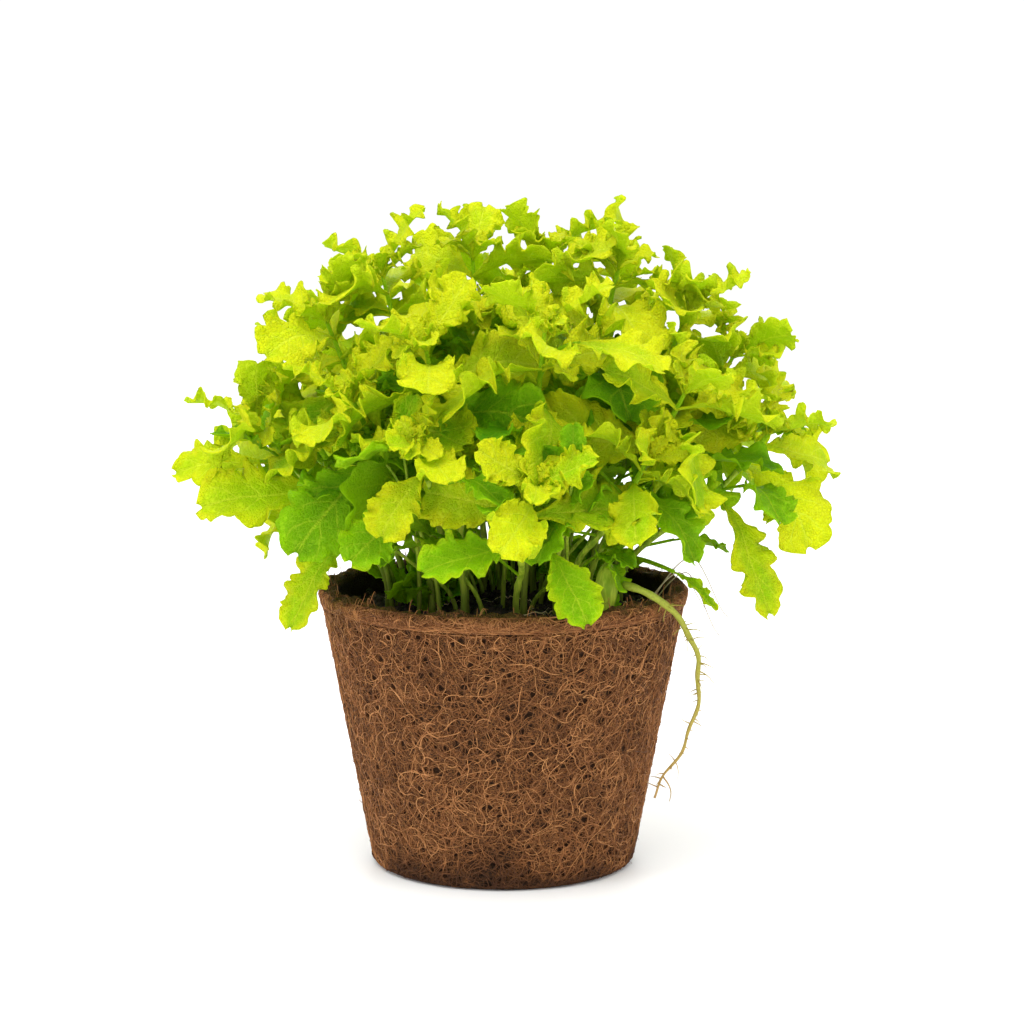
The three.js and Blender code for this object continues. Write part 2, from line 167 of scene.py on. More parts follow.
def makePiece(name, replaced, points, faceGroups, material, values=None, bakePlaces=None):
    # faceGroups holds arrays of faces, one for each number of corners
    # bakePlaces gives the place of each of their corners on the bake's sheet
    mesh = bpy.data.meshes.new(name)
    mesh.vertices.add(len(points))
    mesh.vertices.foreach_set("co", np.asarray(points, np.float32).ravel())
    corners = np.concatenate([group.ravel() for group in faceGroups]).astype(np.int32)
    sizes = np.concatenate([np.full(len(group), group.shape[1]) for group in faceGroups])
    starts = np.concatenate([[0], np.cumsum(sizes)[:-1]]).astype(np.int32)
    mesh.loops.add(len(corners))
    mesh.loops.foreach_set("vertex_index", corners)
    mesh.polygons.add(len(sizes))
    mesh.polygons.foreach_set("loop_start", starts)
    mesh.update(calc_edges=True)
    mesh.polygons.foreach_set("use_smooth", np.ones(len(sizes), bool))
    for key, value in (values or {}).items():
        kind = "FLOAT_VECTOR" if value.ndim == 2 else "FLOAT"
        layer = mesh.attributes.new(key, kind, "POINT")
        layer.data.foreach_set("vector" if value.ndim == 2 else "value", value.astype(np.float32).ravel())
    if bakePlaces is not None:
        layer = mesh.uv_layers.new(name="OFBake")
        flat = np.concatenate([group.reshape(-1, 2) for group in bakePlaces])
        layer.data.foreach_set("uv", flat.astype(np.float32).ravel())
    mesh.materials.append(material)
    mesh.validate()
    piece = bpy.data.objects.new(name, mesh)
    bpy.context.scene.collection.objects.link(piece)
    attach(piece, "root")
    if replaced:
        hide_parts(*replaced)
    return piece


# room beside each face, and the share of its cell that a tube fills
bakeSheet = {"margin": 0.1, "cellFill": 0.96}


def cells(count):
    # a square sheet of cells for the bake: corner and size of each
    side = math.ceil(math.sqrt(count))
    index = np.arange(count)
    return np.stack([index % side, index // side], axis=1) / side, 1 / side


def tubes(paths, radii, sides):
    # closed tubes along paths (tubes, points, 3); returns points, faces, places, and each point's share
    # of the way along and the number of its tube
    many, steps, _ = paths.shape
    along = unit(np.gradient(paths, axis=1))
    across = np.empty_like(paths)
    guide = np.where(np.abs(along[:, :1, 2:]) < 0.9, [[[0.0, 0.0, 1.0]]], [[[1.0, 0.0, 0.0]]])
    normal = unit(np.cross(along[:, 0], guide[:, 0]))
    for step in range(steps):
        normal = unit(normal - (normal * along[:, step]).sum(1, keepdims=True) * along[:, step])
        across[:, step] = normal
    other = np.cross(along, across)
    turn = np.arange(sides) / sides * math.tau
    ring = across[:, :, None] * np.cos(turn)[:, None] + other[:, :, None] * np.sin(turn)[:, None]
    points = paths[:, :, None] + ring * radii[:, :, None, None]
    index = np.arange(many * steps * sides).reshape(many, steps, sides)
    after = np.roll(index, -1, axis=2)
    quads = np.stack([index[:, :-1], after[:, :-1], after[:, 1:], index[:, 1:]], axis=-1).reshape(-1, 4)
    caps = np.concatenate([index[:, 0, ::-1], index[:, -1]])
    share = np.broadcast_to(np.linspace(0, 1, steps)[None, :, None], (many, steps, sides)).ravel()
    number = np.broadcast_to(np.arange(many)[:, None, None], (many, steps, sides)).ravel()
    return points.reshape(-1, 3), [quads, caps], tubePlaces(many, steps, sides), share, number


def tubePlaces(many, steps, sides):
    # each tube has a cell of the bake's sheet, and each of its faces a box in that cell
    corner, size = cells(many)
    fill = 1 - 2 * bakeSheet["margin"]
    stepU = (np.arange(steps - 1) + bakeSheet["margin"]) / steps
    sideV = (np.arange(sides) + bakeSheet["margin"]) / sides
    u, v = np.meshgrid(stepU, sideV, indexing="ij")
    boxU = np.stack([u, u, u + fill / steps, u + fill / steps], axis=-1)
    boxV = np.stack([v, v + fill / sides, v + fill / sides, v], axis=-1)
    boxes = np.stack([boxU, boxV], axis=-1)[None] * size * bakeSheet["cellFill"]
    quadPlaces = corner[:, None, None, None] + boxes
    turn = np.arange(sides) / sides * math.tau
    disc = np.stack([0.5 + 0.4 * np.cos(turn), 0.5 + 0.4 * np.sin(turn)], axis=-1) / (sides * steps)
    capPlaces = corner[:, None] + (disc + [1 - 1 / steps, 0.02]) * size * bakeSheet["cellFill"]
    return [quadPlaces.reshape(-1, 4, 2), np.concatenate([capPlaces, capPlaces])]


def joined(parts):
    # several lots of (points, faceGroups, places, values) as one
    points = np.concatenate([part[0] for part in parts])
    offsets = np.cumsum([0] + [len(part[0]) for part in parts])[:-1]
    byCount = {}
    for part, offset in zip(parts, offsets):
        for group, place in zip(part[1], part[2]):
            faces, spots = byCount.setdefault(group.shape[1], ([], []))
            faces.append(group + offset)
            spots.append(place)
    groups = [np.concatenate(faces) for faces, _ in byCount.values()]
    places = [np.concatenate(spots) for _, spots in byCount.values()]
    values = {key: np.concatenate([part[3][key] for part in parts]) for key in parts[0][3]}
    return points, groups, places, values


def welded(nodeName):
    # a node's corner points once each, and which of them share an edge
    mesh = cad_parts[nodeName].data
    raw = np.empty(len(mesh.vertices) * 3, np.float32)
    mesh.vertices.foreach_get("co", raw)
    places, ids = np.unique(np.round(raw.reshape(-1, 3).astype(float), 6), axis=0, return_inverse=True)
    ids = ids.ravel()
    near = [set() for _ in places]
    for face in mesh.polygons:
        corners = [int(ids[v]) for v in face.vertices]
        for a, b in zip(corners, corners[1:] + corners[:1]):
            if a != b:
                near[a].add(b)
                near[b].add(a)
    return places, near


def readRoute(nodeName, startPoint, sides):
    # the middle line of a plain bar: rings of corners, from the ring nearest startPoint
    places, near = welded(nodeName)
    first = np.argsort(np.linalg.norm(places - startPoint, axis=1))[:sides]
    ring = set(int(i) for i in first)
    seen = set(ring)
    route = []
    while ring:
        route.append(places[sorted(ring)].mean(0))
        ring = set(b for a in ring for b in near[a]) - seen
        seen |= ring
    return np.array(route)


def smoothRoute(route, count):
    # an even, rounded path through the points of a route
    padded = np.vstack([2 * route[0] - route[1], route, 2 * route[-1] - route[-2]])
    length = np.concatenate([[0], np.cumsum(np.linalg.norm(np.diff(route, axis=0), axis=1))])
    wanted = np.linspace(0, length[-1], count)
    slot = np.clip(np.searchsorted(length, wanted, side="right") - 1, 0, len(route) - 2)
    t = ((wanted - length[slot]) / (length[slot + 1] - length[slot]))[:, None]
    p0, p1, p2, p3 = (padded[slot + k] for k in range(4))
    return 0.5 * (2 * p1 + (p2 - p0) * t + (2 * p0 - 5 * p1 + 4 * p2 - p3) * t ** 2
                  + (3 * p1 - p0 - 3 * p2 + p3) * t ** 3)


leafSheet = {
    "thick": 0.0011,       # a plain leaf's thickness at its midrib
    "slack": 0.00002,      # and how exactly that is met
    "slant": 1e-7,         # how exactly a row stands square to its midrib
    "rows": (0.26, 0.64, 1.0),  # where its rows of corners cross the midrib
    "nearWidth": 0.45,     # width of the first of these rows, as a share of the widest
    "tipWidth": 0.34,      # and of the last
    "widthSlack": 0.03,
    "leastBend": 0.02,
}


def leafRowsOf(places, near):
    # rows of a leaf sheet: midrib above and below at the sheet's thickness, with an edge to each side
    rows = []
    for a in range(len(places)):
        reach = set(c for n in near[a] for c in near[n] if c > a)
        for b in reach:
            if abs(np.linalg.norm(places[a] - places[b]) - leafSheet["thick"]) > leafSheet["slack"]:
                continue
            shared = sorted(near[a] & near[b])
            middle = (places[a] + places[b]) / 2
            for p in shared:
                for q in shared:
                    span = places[q] - places[p]
                    even = abs(np.linalg.norm(places[p] - middle) - np.linalg.norm(places[q] - middle))
                    square = abs(np.dot(span, places[a] - places[b]))
                    if p < q and even < leafSheet["slack"] and square < leafSheet["slant"]:
                        rows.append({"pair": (a, b), "edges": (p, q), "middle": middle,
                                     "width": np.linalg.norm(span)})
    return rows


def leafFrom(places, rows):
    # the leaf's arc from three rows, or None if they aren't a whole leaf
    widest = max(rows, key=lambda row: row["width"])
    slack = leafSheet["widthSlack"]

    def withShare(share):
        fits = [row for row in rows if abs(row["width"] / widest["width"] - share) < slack]
        return fits[0] if fits else None

    nearRow, tipRow = withShare(leafSheet["nearWidth"]), withShare(leafSheet["tipWidth"])
    if nearRow is None or tipRow is None:
        return None
    chain = (nearRow, widest, tipRow)
    middles = [row["middle"] for row in chain]
    normals = []
    for row in chain:
        a, b = row["pair"]
        p, q = row["edges"]
        normal = unit(places[a] - places[b])
        lift = (places[p] + places[q]) / 2 - row["middle"]
        normals.append(normal if np.dot(lift, normal) > 0 else -normal)
    s1, s2, s3 = leafSheet["rows"]
    first, second = unit(middles[1] - middles[0]), unit(middles[2] - middles[1])
    turn = math.acos(min(1.0, max(-1.0, float(np.dot(first, second)))))
    bend = max(turn / ((s3 - s1) / 2), leafSheet["leastBend"])
    half = bend * (s2 - s1) / 2
    length = np.linalg.norm(middles[1] - middles[0]) / (s2 - s1) * half / math.sin(half)
    face = normals[0] + normals[1]
    face = unit(face - np.dot(face, first) * first)
    angle = bend * (s1 + s2) / 2
    heading = math.cos(angle) * first + math.sin(angle) * face
    upward = math.cos(angle) * face - math.sin(angle) * first
    back = bend * s1
    foot = middles[0] - length / bend * (math.sin(back) * heading - (1 - math.cos(back)) * upward)
    return {"foot": foot, "heading": heading, "face": upward, "length": length,
            "width": widest["width"], "bend": bend}


def readLeaves(nodeName):
    places, near = welded(nodeName)
    rows = leafRowsOf(places, near)
    groups = []
    for row in rows:
        a, b = row["pair"]
        touching = []
        for group in groups:
            if any(len((near[a] | near[b]) & set(other["pair"])) >= 2 for other in group):
                touching.append(group)
        merged = [row] + [other for group in touching for other in group]
        groups = [group for group in groups if group not in touching] + [merged]
    leaves = [leafFrom(places, group) for group in groups if len(group) >= 3]
    return [leaf for leaf in leaves if leaf is not None]


def readAll():
    stems, crowns, singles = {}, {}, {}
    for name in nodeNames:
        kind, _, number = name.partition("_")
        if kind == "stem":
            places, _ = welded(name)
            foot = places[places[:, 2] < places[:, 2].min() + plainBar["footSlack"]].mean(0)
            stems[number] = readRoute(name, foot, plainBar["stemSides"])
        elif kind == "crown":
            crowns[number] = readLeaves(name)
        elif kind == "leaf":
            singles[number] = readLeaves(name)
    return stems, crowns, singles


# corners round the plain stems and root, and the depth of a stem's lowest ring
plainBar = {"stemSides": 5, "rootSides": 7, "footSlack": 0.0003}
stems, crowns, singles = readAll()
crownLeafCount = sum(len(leaves) for leaves in crowns.values())
print("read", len(stems), "stems,", crownLeafCount, "crown leaves and", len(singles), "single leaves")

# colours first, then scales, which are in cells to the metre, and shares from 0 to 1
leafLook = {
    "young": (0.88, 0.83, 0.008, 1),
    "middle": (0.26, 0.56, 0.003, 1),
    # the darkest green: the old leaves' own colour, and also painted shade deep in the foliage
    "oldAndShaded": (0.042, 0.21, 0.001, 1),
    "vein": (0.90, 0.94, 0.06, 1),
    "underside": (0.38, 0.62, 0.010, 1),
    "glow": (0.66, 0.90, 0.002, 1),  # light that comes through the blade
    "glowShare": 0.44,
    "edgeTone": 0.34,      # how much yellower the margin is than the midrib
    "patchScale": 150.0,
    "patchTone": 0.5,
    "blotchScale": 45.0,
    "blotchTone": 0.4,
    "veinPairs": 6.0,      # side veins on each side of the midrib
    "veinShare": 0.52,
    "netScale": 900.0,
    "netShare": 0.30,
    "wrinkleScale": 420.0,
    "blisterScale": 190.0,
    "bumpDepth": 0.00062,
    "roughness": 0.43,
    "shine": 0.13,
}


def leafVeins(along, edge, patches):
    # 1 on the midrib, less on the side veins that sweep forward from it
    midrib = 1 - edge.between(0.02, 0.06)
    sweep = along * leafLook["veinPairs"] - edge * 1.5 + (patches - 0.5) * 0.3
    side = abs(sweep.maths("FRACT", sweep) - 0.5)
    side = (1 - side.between(0.02, 0.08)) * (1 - edge.between(0.5, 0.95)) * along.between(0.12, 0.25)
    return midrib.maths("MAXIMUM", midrib, side * 0.85)


def leafRecipe(start):
    # leafPlace holds the place along the leaf, the place across it and the leaf's own chance number
    place = attribute(start, "leafPlace", out=1)
    along, across, chance = (place.node("ShaderNodeSeparateXYZ", None, {0: place}, out=k) for k in range(3))
    tone = attribute(start, "tone")
    edge = abs(across)
    patches = grain(start, leafLook["patchScale"], 3.0, 0.65)
    blotches = grain(start, leafLook["blotchScale"], 2.0)
    net = cellEdge(start, leafLook["netScale"])
    shade = tone + edge.between(0.25, 1.0) * leafLook["edgeTone"] - 0.12
    shade = shade + (patches - 0.5) * leafLook["patchTone"] + (blotches - 0.5) * leafLook["blotchTone"]
    shade = shade + (chance - 0.5) * 0.12
    # low tones give dark green: partly the leaves' age, partly painted shade inside the plant
    body = shade.ramp((0.0, leafLook["oldAndShaded"]), (0.5, leafLook["middle"]), (1.0, leafLook["young"]))
    body = (attribute(start, "under") * 0.5).mix(body, leafLook["underside"])
    vein = leafVeins(along, edge, patches)
    fineNet = 1 - net.between(0.02, 0.12)
    lines = (vein * leafLook["veinShare"] + fineNet * leafLook["netShare"]) * (tone * 0.7 + 0.3)
    relief = (1 - vein) * 0.45 + net.between(0.0, 0.3) * 0.8
    relief = relief + grain(start, leafLook["wrinkleScale"], 3.0) * 1.1
    relief = relief + grain(start, leafLook["blisterScale"], 1.0) * 1.6
    return {
        "Base Color": lines.mix(body, leafLook["vein"]),
        "Roughness": leafLook["roughness"] + patches * 0.14,
        "IOR": 1.4,
        "Specular IOR Level": leafLook["shine"],
        "Normal": bumped(start, relief, 0.85, leafLook["bumpDepth"]),
    }


stemLook = {
    "pale": (0.47, 0.58, 0.050, 1),
    "green": (0.17, 0.31, 0.010, 1),
    # the lower stem's dark: partly its own brown, partly painted shade under the foliage
    "foot": (0.060, 0.070, 0.010, 1),
    "shadedFootEnd": 0.45,       # share of a stem's length that is darker than the rest: partly its brown lower stem, partly painted shade under the foliage
    "stretch": (900.0, 900.0, 60.0),  # the streaks run up the stem
}


def stemRecipe(start):
    sockets = {"Vector": objectPlace(start), "Scale": stemLook["stretch"]}
    streaks = grain(start, 1.0, 3.0, at=start.node("ShaderNodeMapping", None, sockets))
    body = (streaks.between(0.35, 0.65) * 0.8).mix(stemLook["pale"], stemLook["green"])
    # the lower stem is darkened: partly its brown, partly painted shade under the foliage
    foot = (1 - attribute(start, "share").between(0.0, stemLook["shadedFootEnd"])) * 0.85
    return {
        "Base Color": foot.mix(body, stemLook["foot"]),
        "Roughness": 0.5,
        "Specular IOR Level": 0.12,
        "Normal": bumped(start, streaks, 0.4, 0.0002),
    }


rootLook = {
    "top": (0.30, 0.38, 0.030, 1),
    "middle": (0.35, 0.33, 0.045, 1),
    "tip": (0.42, 0.25, 0.080, 1),
    "fleck": (0.13, 0.09, 0.025, 1),
    "paleLight": (0.62, 0.52, 0.34, 1),
    "paleDark": (0.42, 0.30, 0.16, 1),
}


def rootRecipe(start):
    flecks = grain(start, 1500.0, 3.0)
    stops = (0.0, rootLook["top"]), (0.45, rootLook["middle"]), (1.0, rootLook["tip"])
    body = attribute(start, "share").ramp(*stops)
    return {
        "Base Color": (flecks.between(0.4, 0.7) * 0.35).mix(body, rootLook["fleck"]),
        "Roughness": 0.55,
        "Specular IOR Level": 0.25,
        "Normal": bumped(start, flecks, 0.4, 0.0002),
    }


def paleRootRecipe(start):
    return {
        "Base Color": grain(start, 1200.0, 2.0).mix(rootLook["paleLight"], rootLook["paleDark"]),
        "Roughness": 0.6,
    }


coirLook = {
    # the dark in the pits and hollows of the net: painted shade
    "pit": (0.047, 0.022, 0.010, 1),
    "dark": (0.026, 0.011, 0.005, 1),
    "body": (0.075, 0.031, 0.011, 1),
    "thread": (0.34, 0.135, 0.044, 1),
    "moss": (0.075, 0.070, 0.010, 1),
    # the inner wall's dark: painted shade inside the pot, under the rim and the foliage
    "inside": (0.030, 0.020, 0.009, 1),
    "stain": (0.022, 0.011, 0.006, 1),
    "fibreDark": (0.075, 0.028, 0.010, 1),
    "fibre": (0.33, 0.128, 0.040, 1),
    "fibrePale": (0.68, 0.32, 0.115, 1),
    "netScales": ((620.0, 0.11), (1150.0, 0.13)),  # scale of the cells, and width of the threads between
    "hollowScale": 760.0,
    "clumpScale": 200.0,
    "fleckScale": 2600.0,
    "warpScale": 300.0,
    "warp": 0.0016,
    "bumpDepth": 0.0009,
}


def warpedPlace(start):
    # the object's own place, pushed about so that the net of threads isn't regular
    where = objectPlace(start)
    sockets = {"Vector": where, "Scale": coirLook["warpScale"], "Detail": 2.0}
    push = start.node("ShaderNodeTexNoise", None, sockets, out=1)
    push = start.node("ShaderNodeVectorMath", {"operation": "SCALE"}, {0: push, "Scale": coirLook["warp"]})
    return start.node("ShaderNodeVectorMath", {"operation": "ADD"}, {0: where, 1: push})


def coirBaseRecipe(start):
    where = warpedPlace(start)
    clumps = grain(start, coirLook["clumpScale"], 4.0, 0.65)
    flecks = grain(start, coirLook["fleckScale"], 4.0, 0.7)
    (coarse, coarseWide), (fine, fineWide) = coirLook["netScales"]
    threads = 1 - cellEdge(start, coarse, where).between(0.0, coarseWide)
    fineThreads = 1 - cellEdge(start, fine, where).between(0.0, fineWide)
    threads = threads.maths("MAXIMUM", threads * 0.85, fineThreads)
    # hollows in the net, the pits and the groove under the lip are painted dark: painted shade, as well as a
    # bump
    hollow = start.node("ShaderNodeTexVoronoi", None, {"Vector": where, "Scale": coirLook["hollowScale"]})
    hollow = (1 - hollow.between(0.15, 0.42)) * clumps.between(0.40, 0.56)
    shadedHollows = hollow.maths("MAXIMUM", hollow * 0.6, attribute(start, "pit").between(0.1, 0.7))
    body = (flecks.between(0.35, 0.65) * 0.75 + clumps * 0.3).mix(coirLook["dark"], coirLook["body"])
    body = (threads * flecks.between(0.15, 0.45)).mix(body, coirLook["thread"])
    body = shadedHollows.mix(body, coirLook["pit"])
    body = (attribute(start, "moss") * clumps.between(0.35, 0.55) * 0.6).mix(body, coirLook["moss"])
    body = (attribute(start, "stain") * clumps.between(0.25, 0.6)).mix(body, coirLook["stain"])
    relief = threads * 0.6 - shadedHollows * 1.4 + flecks * 0.4
    return {
        # the inner wall below the rim gets painted shade
        "Base Color": attribute(start, "inside").mix(body, coirLook["inside"]),
        "Roughness": 0.9,
        "Specular IOR Level": 0.15,
        "Normal": bumped(start, relief, 1.0, coirLook["bumpDepth"]),
    }


def coirFibreRecipe(start):
    share = attribute(start, "chance") * 0.75 + grain(start, 500.0, 3.0) * 0.4 - 0.1
    stops = (0.0, coirLook["fibreDark"]), (0.5, coirLook["fibre"]), (1.0, coirLook["fibrePale"])
    return {
        "Base Color": share.ramp(*stops),
        "Roughness": 0.65,
        "Specular IOR Level": 0.25,
    }


soilLook = {"dark": (0.008, 0.006, 0.004, 1), "light": (0.06, 0.038, 0.022, 1), "clodScale": 350.0}


def soilRecipe(start):
    clods = grain(start, soilLook["clodScale"], 6.0, 0.7)
    return {
        "Base Color": clods.between(0.4, 0.75).mix(soilLook["dark"], soilLook["light"]),
        "Roughness": 0.92,
        "Normal": bumped(start, clods, 1.0, 0.0015),
    }


leafPaint = paint("leafPaint", leafRecipe, {"colour": leafLook["glow"], "share": leafLook["glowShare"]})
stemPaint = paint("stemPaint", stemRecipe)
rootPaint = paint("rootPaint", rootRecipe)
paleRootPaint = paint("paleRootPaint", paleRootRecipe)
coirBasePaint = paint("coirBasePaint", coirBaseRecipe)
coirFibrePaint = paint("coirFibrePaint", coirFibreRecipe)
soilPaint = paint("soilPaint", soilRecipe)


leafShape = {
    "outlineAt": (0, 0.10, 0.20, 0.30, 0.42, 0.54, 0.66, 0.78, 0.88, 0.95, 1.0),
    "outline": (0.08, 0.09, 0.17, 0.40, 0.72, 0.93, 1.04, 1.02, 0.84, 0.58, 0.16),
    "bladeFrom": (0.16, 0.4),  # the stalk widens into the blade between these places
    "lobes": 7.8,          # on each side
    "lobeDepth": 0.27,
    "lobeDrift": 0.045,    # how unevenly they are spaced
    "toothDepth": 0.085,   # small teeth on the lobes, as a share of the half width
    "teeth": 2.4,          # to a lobe
    "curlFrom": 0.42,      # the margin outside this share of the half width curls
    "ruffle": 0.16,        # the small waves on the curl
    "calmTip": (0.72, 0.55),  # past this place it curls less, by up to this share
    "pucker": 0.013,       # height of the blade's broad waves, as a share of its length
    "bow": 0.02,
    "fold": 0.14,
    "groove": 0.0003,      # depth and width of the dip over the midrib
    "grooveWide": 0.0009,
    "sweep": 0.19,         # how far the margin runs ahead of the midrib, as a share of the width
    "sheet": 0.00026,
    "midribExtra": 0.0007,
    "midribWide": 0.09,
}


def spread(low, high, chance):
    return low + (high - low) * chance


def smooth(low, high, value):
    t = np.clip((value - low) / (high - low), 0, 1)
    return t * t * (3 - 2 * t)


def leafOutline(s, u, chance):
    # half width as a share of the widest, the count of lobes so far, each point's height on its lobe,
    # and 0 on the stalk to 1 on the blade
    left = u < 0
    phase = np.where(left, chance[:, 0], chance[:, 1])
    lobeCount = leafShape["lobes"] + spread(-1.0, 1.0, chance[:, 2])
    drift = leafShape["lobeDrift"] * np.sin(math.tau * (1.7 * s + chance[:, 3] + left * 0.4))
    turn = lobeCount * (s ** 0.9 + drift) + phase
    lobe = np.sin(math.pi * (turn % 1.0) ** 1.12) ** 0.5
    teeth = np.sin(math.pi * ((turn * leafShape["teeth"] + chance[:, 4]) % 1.0)) ** 0.6
    blade = smooth(*leafShape["bladeFrom"], s)
    depth = leafShape["lobeDepth"] * blade * spread(0.6, 1.3, chance[:, 5])
    reach = np.interp(s, leafShape["outlineAt"], leafShape["outline"])
    reach = reach * (1.08 - depth + depth * lobe + leafShape["toothDepth"] * blade * (teeth - 0.6))
    return reach, turn, lobe, blade


def leafRelief(s, u, size, chance):
    # each point's place across the leaf, height over its arc, reach ahead, and share of the full width
    reach, turn, lobe, blade = leafOutline(s, u, chance)
    edge = np.abs(u)
    half = size["width"] / 2
    flat = edge * half * reach
    waves = np.sin(math.pi * (turn + 0.2 * chance[:, 6]))
    waves = waves + 0.35 * np.sin(math.tau * (turn * 1.15 + chance[:, 6]))
    calmFrom, calmShare = leafShape["calmTip"]
    calm = 1 - calmShare * smooth(calmFrom, 1.0, s)
    curl = size["frill"] * calm * blade * smooth(0.25, 1.0, edge) * waves
    curl = curl + 0.25 * size["frill"] * blade * edge ** 2
    inner = np.minimum(flat, half * reach * leafShape["curlFrom"])
    band = flat - inner
    x = np.sign(u) * (inner + band * np.cos(curl))
    ruffle = np.sin(math.tau * (turn * leafShape["teeth"] / 2 + chance[:, 4]))
    ruffle = ruffle * smooth(0.5, 1.0, edge) * blade
    lift = band * (np.sin(curl) + leafShape["ruffle"] * ruffle)
    pucker = np.sin(math.tau * (2.6 * s + chance[:, 7]))
    pucker = pucker * np.sin(math.tau * (1.1 * u + chance[:, 8] + 0.6 * s))
    pucker = pucker + 0.5 * np.sin(math.tau * (5.1 * s + 0.9 * edge + chance[:, 9]))
    z = lift + leafShape["fold"] * np.abs(x)
    z = z + pucker * size["length"] * leafShape["pucker"] * blade * edge ** 0.7
    z = z - leafShape["groove"] * np.exp(-(x / leafShape["grooveWide"]) ** 2) * blade
    forward = leafShape["sweep"] * half * edge ** 2 * blade * (0.6 + 0.4 * lobe)
    twist = size["twist"] * s
    x, z = x * np.cos(twist) - z * np.sin(twist), x * np.sin(twist) + z * np.cos(twist)
    z = z + leafShape["bow"] * size["length"] * np.sin(math.tau * (1.5 * s + chance[:, 10])) * blade
    return x, z, forward, reach


def leafShell(sheet, normal, thick):
    # a closed shell about a grid of points, with the place of each corner on the bake's sheet
    many, steps, across, _ = sheet.shape
    along, side = np.gradient(sheet, axis=1), np.gradient(sheet, axis=2)
    out = unit(np.cross(side, along))
    out = out * np.sign((out * normal).sum(-1, keepdims=True) + 1e-9)
    top, bottom = sheet + (thick * 0.7)[..., None] * out, sheet - (thick * 1.3)[..., None] * out
    points = np.stack([top, bottom], axis=1).reshape(-1, 3)
    index = np.arange(many * 2 * steps * across).reshape(many, 2, steps, across)
    a, b, c, d = index[:, :, :-1, :-1], index[:, :, 1:, :-1], index[:, :, 1:, 1:], index[:, :, :-1, 1:]
    quads = np.stack([a, d, c, b], axis=-1)
    quads[:, 1] = quads[:, 1, ..., ::-1]
    sides = (index[:, :, 0, :-1], index[:, :, :-1, -1], index[:, :, -1, :0:-1], index[:, :, :0:-1, 0])
    ring = np.concatenate(sides, axis=2)
    after = np.roll(ring, -1, axis=2)
    rim = np.stack([ring[:, 0], ring[:, 1], after[:, 1], after[:, 0]], axis=-1)
    corner, cell = cells(many * 2)
    corner = corner.reshape(many, 2, 1, 1, 2)
    s, u = np.meshgrid(np.linspace(0, 1, steps), np.linspace(-1, 1, across), indexing="ij")
    local = np.stack([0.06 + 0.88 * s, 0.06 + 0.44 * (u + 1)], axis=-1)
    spots = (corner + cell * local).reshape(-1, 2)
    outer = (corner + cell * ((local - 0.5) * 1.06 + 0.5)).reshape(-1, 2)
    first, last = rim[..., 0], rim[..., 3]
    rimSpots = np.stack([spots[first], outer[first], outer[last], spots[last]], axis=-2)
    quads, rim = quads.reshape(-1, 4), rim.reshape(-1, 4)
    return points, [quads, rim], [spots[quads], rimSpots.reshape(-1, 4, 2)]


def growLeaves(specs, steps, across):
    # closed shells for leaves on arcs; returns points, faces, places and the values that the paint reads
    many = len(specs)

    def column(key):
        return np.array([spec[key] for spec in specs], float)

    def eachLeaf(vectors):  # one vector for each leaf, against its grid
        return vectors[:, None, None, :]

    def eachPoint(numbers):  # one number for each point, against its vector
        return numbers[..., None]

    def bothFaces(numbers):
        return np.stack([numbers, numbers], axis=1).ravel()

    foot, heading, face = (eachLeaf(column(key)) for key in ("foot", "heading", "face"))
    size = {key: column(key)[:, None, None] for key in ("length", "width", "bend", "frill", "tone", "twist")}
    chance = np.array([scatter(spec["seed"], 12) for spec in specs])[:, :, None, None]
    s, u = np.meshgrid(np.linspace(0, 1, steps), np.linspace(-1, 1, across), indexing="ij")
    s, u = np.repeat(s[None], many, axis=0), np.repeat(u[None], many, axis=0)
    x, z, forward, reach = leafRelief(s, u, size, chance)
    angle = size["bend"] * s * (0.75 + 0.25 * s)
    ahead = np.sin(angle) / size["bend"] * size["length"]
    fall = (1 - np.cos(angle)) / size["bend"] * size["length"]
    run = eachPoint(np.cos(angle)) * heading - eachPoint(np.sin(angle)) * face
    normal = eachPoint(np.cos(angle)) * face + eachPoint(np.sin(angle)) * heading
    sheet = foot + eachPoint(ahead) * heading - eachPoint(fall) * face
    sheet = sheet + eachPoint(x) * np.cross(heading, face) + eachPoint(z) * normal + eachPoint(forward) * run
    rib = np.exp(-(np.abs(u) * reach / leafShape["midribWide"]) ** 2) * (1.05 - s)
    rib = leafShape["midribExtra"] * rib * np.minimum(1, size["width"] / 0.016)
    points, faces, places = leafShell(sheet, normal, (leafShape["sheet"] + rib) / 2)
    ownChance = np.broadcast_to(chance[:, 11], s.shape)
    values = {
        "tone": bothFaces(np.broadcast_to(size["tone"], s.shape)),
        "under": np.stack([np.zeros_like(s), np.ones_like(s)], axis=1).ravel(),
        "leafPlace": np.stack([bothFaces(s), bothFaces(u), bothFaces(ownChance)], axis=1),
    }
    return points, faces, places, values


def plainTube(paths, radii, sides, tone):
    # tubes with the values that the leaf paint reads, which takes them for a leaf's foot
    points, faces, places, _, _ = tubes(paths, radii, sides)
    values = {
        "tone": np.full(len(points), float(tone)),
        "under": np.zeros(len(points)),
        "leafPlace": np.tile([0.05, 0.05, 0.5], (len(points), 1)),
    }
    return points, faces, places, values


def turnedAbout(vector, axis, angle):
    return (vector * math.cos(angle) + np.cross(axis, vector) * math.sin(angle)
            + axis * np.dot(axis, vector) * (1 - math.cos(angle)))


smallShape = {"slim": (0.46, 0.6), "bend": (0.5, 1.3), "roll": (-0.6, 0.6), "twist": (-0.4, 0.4)}


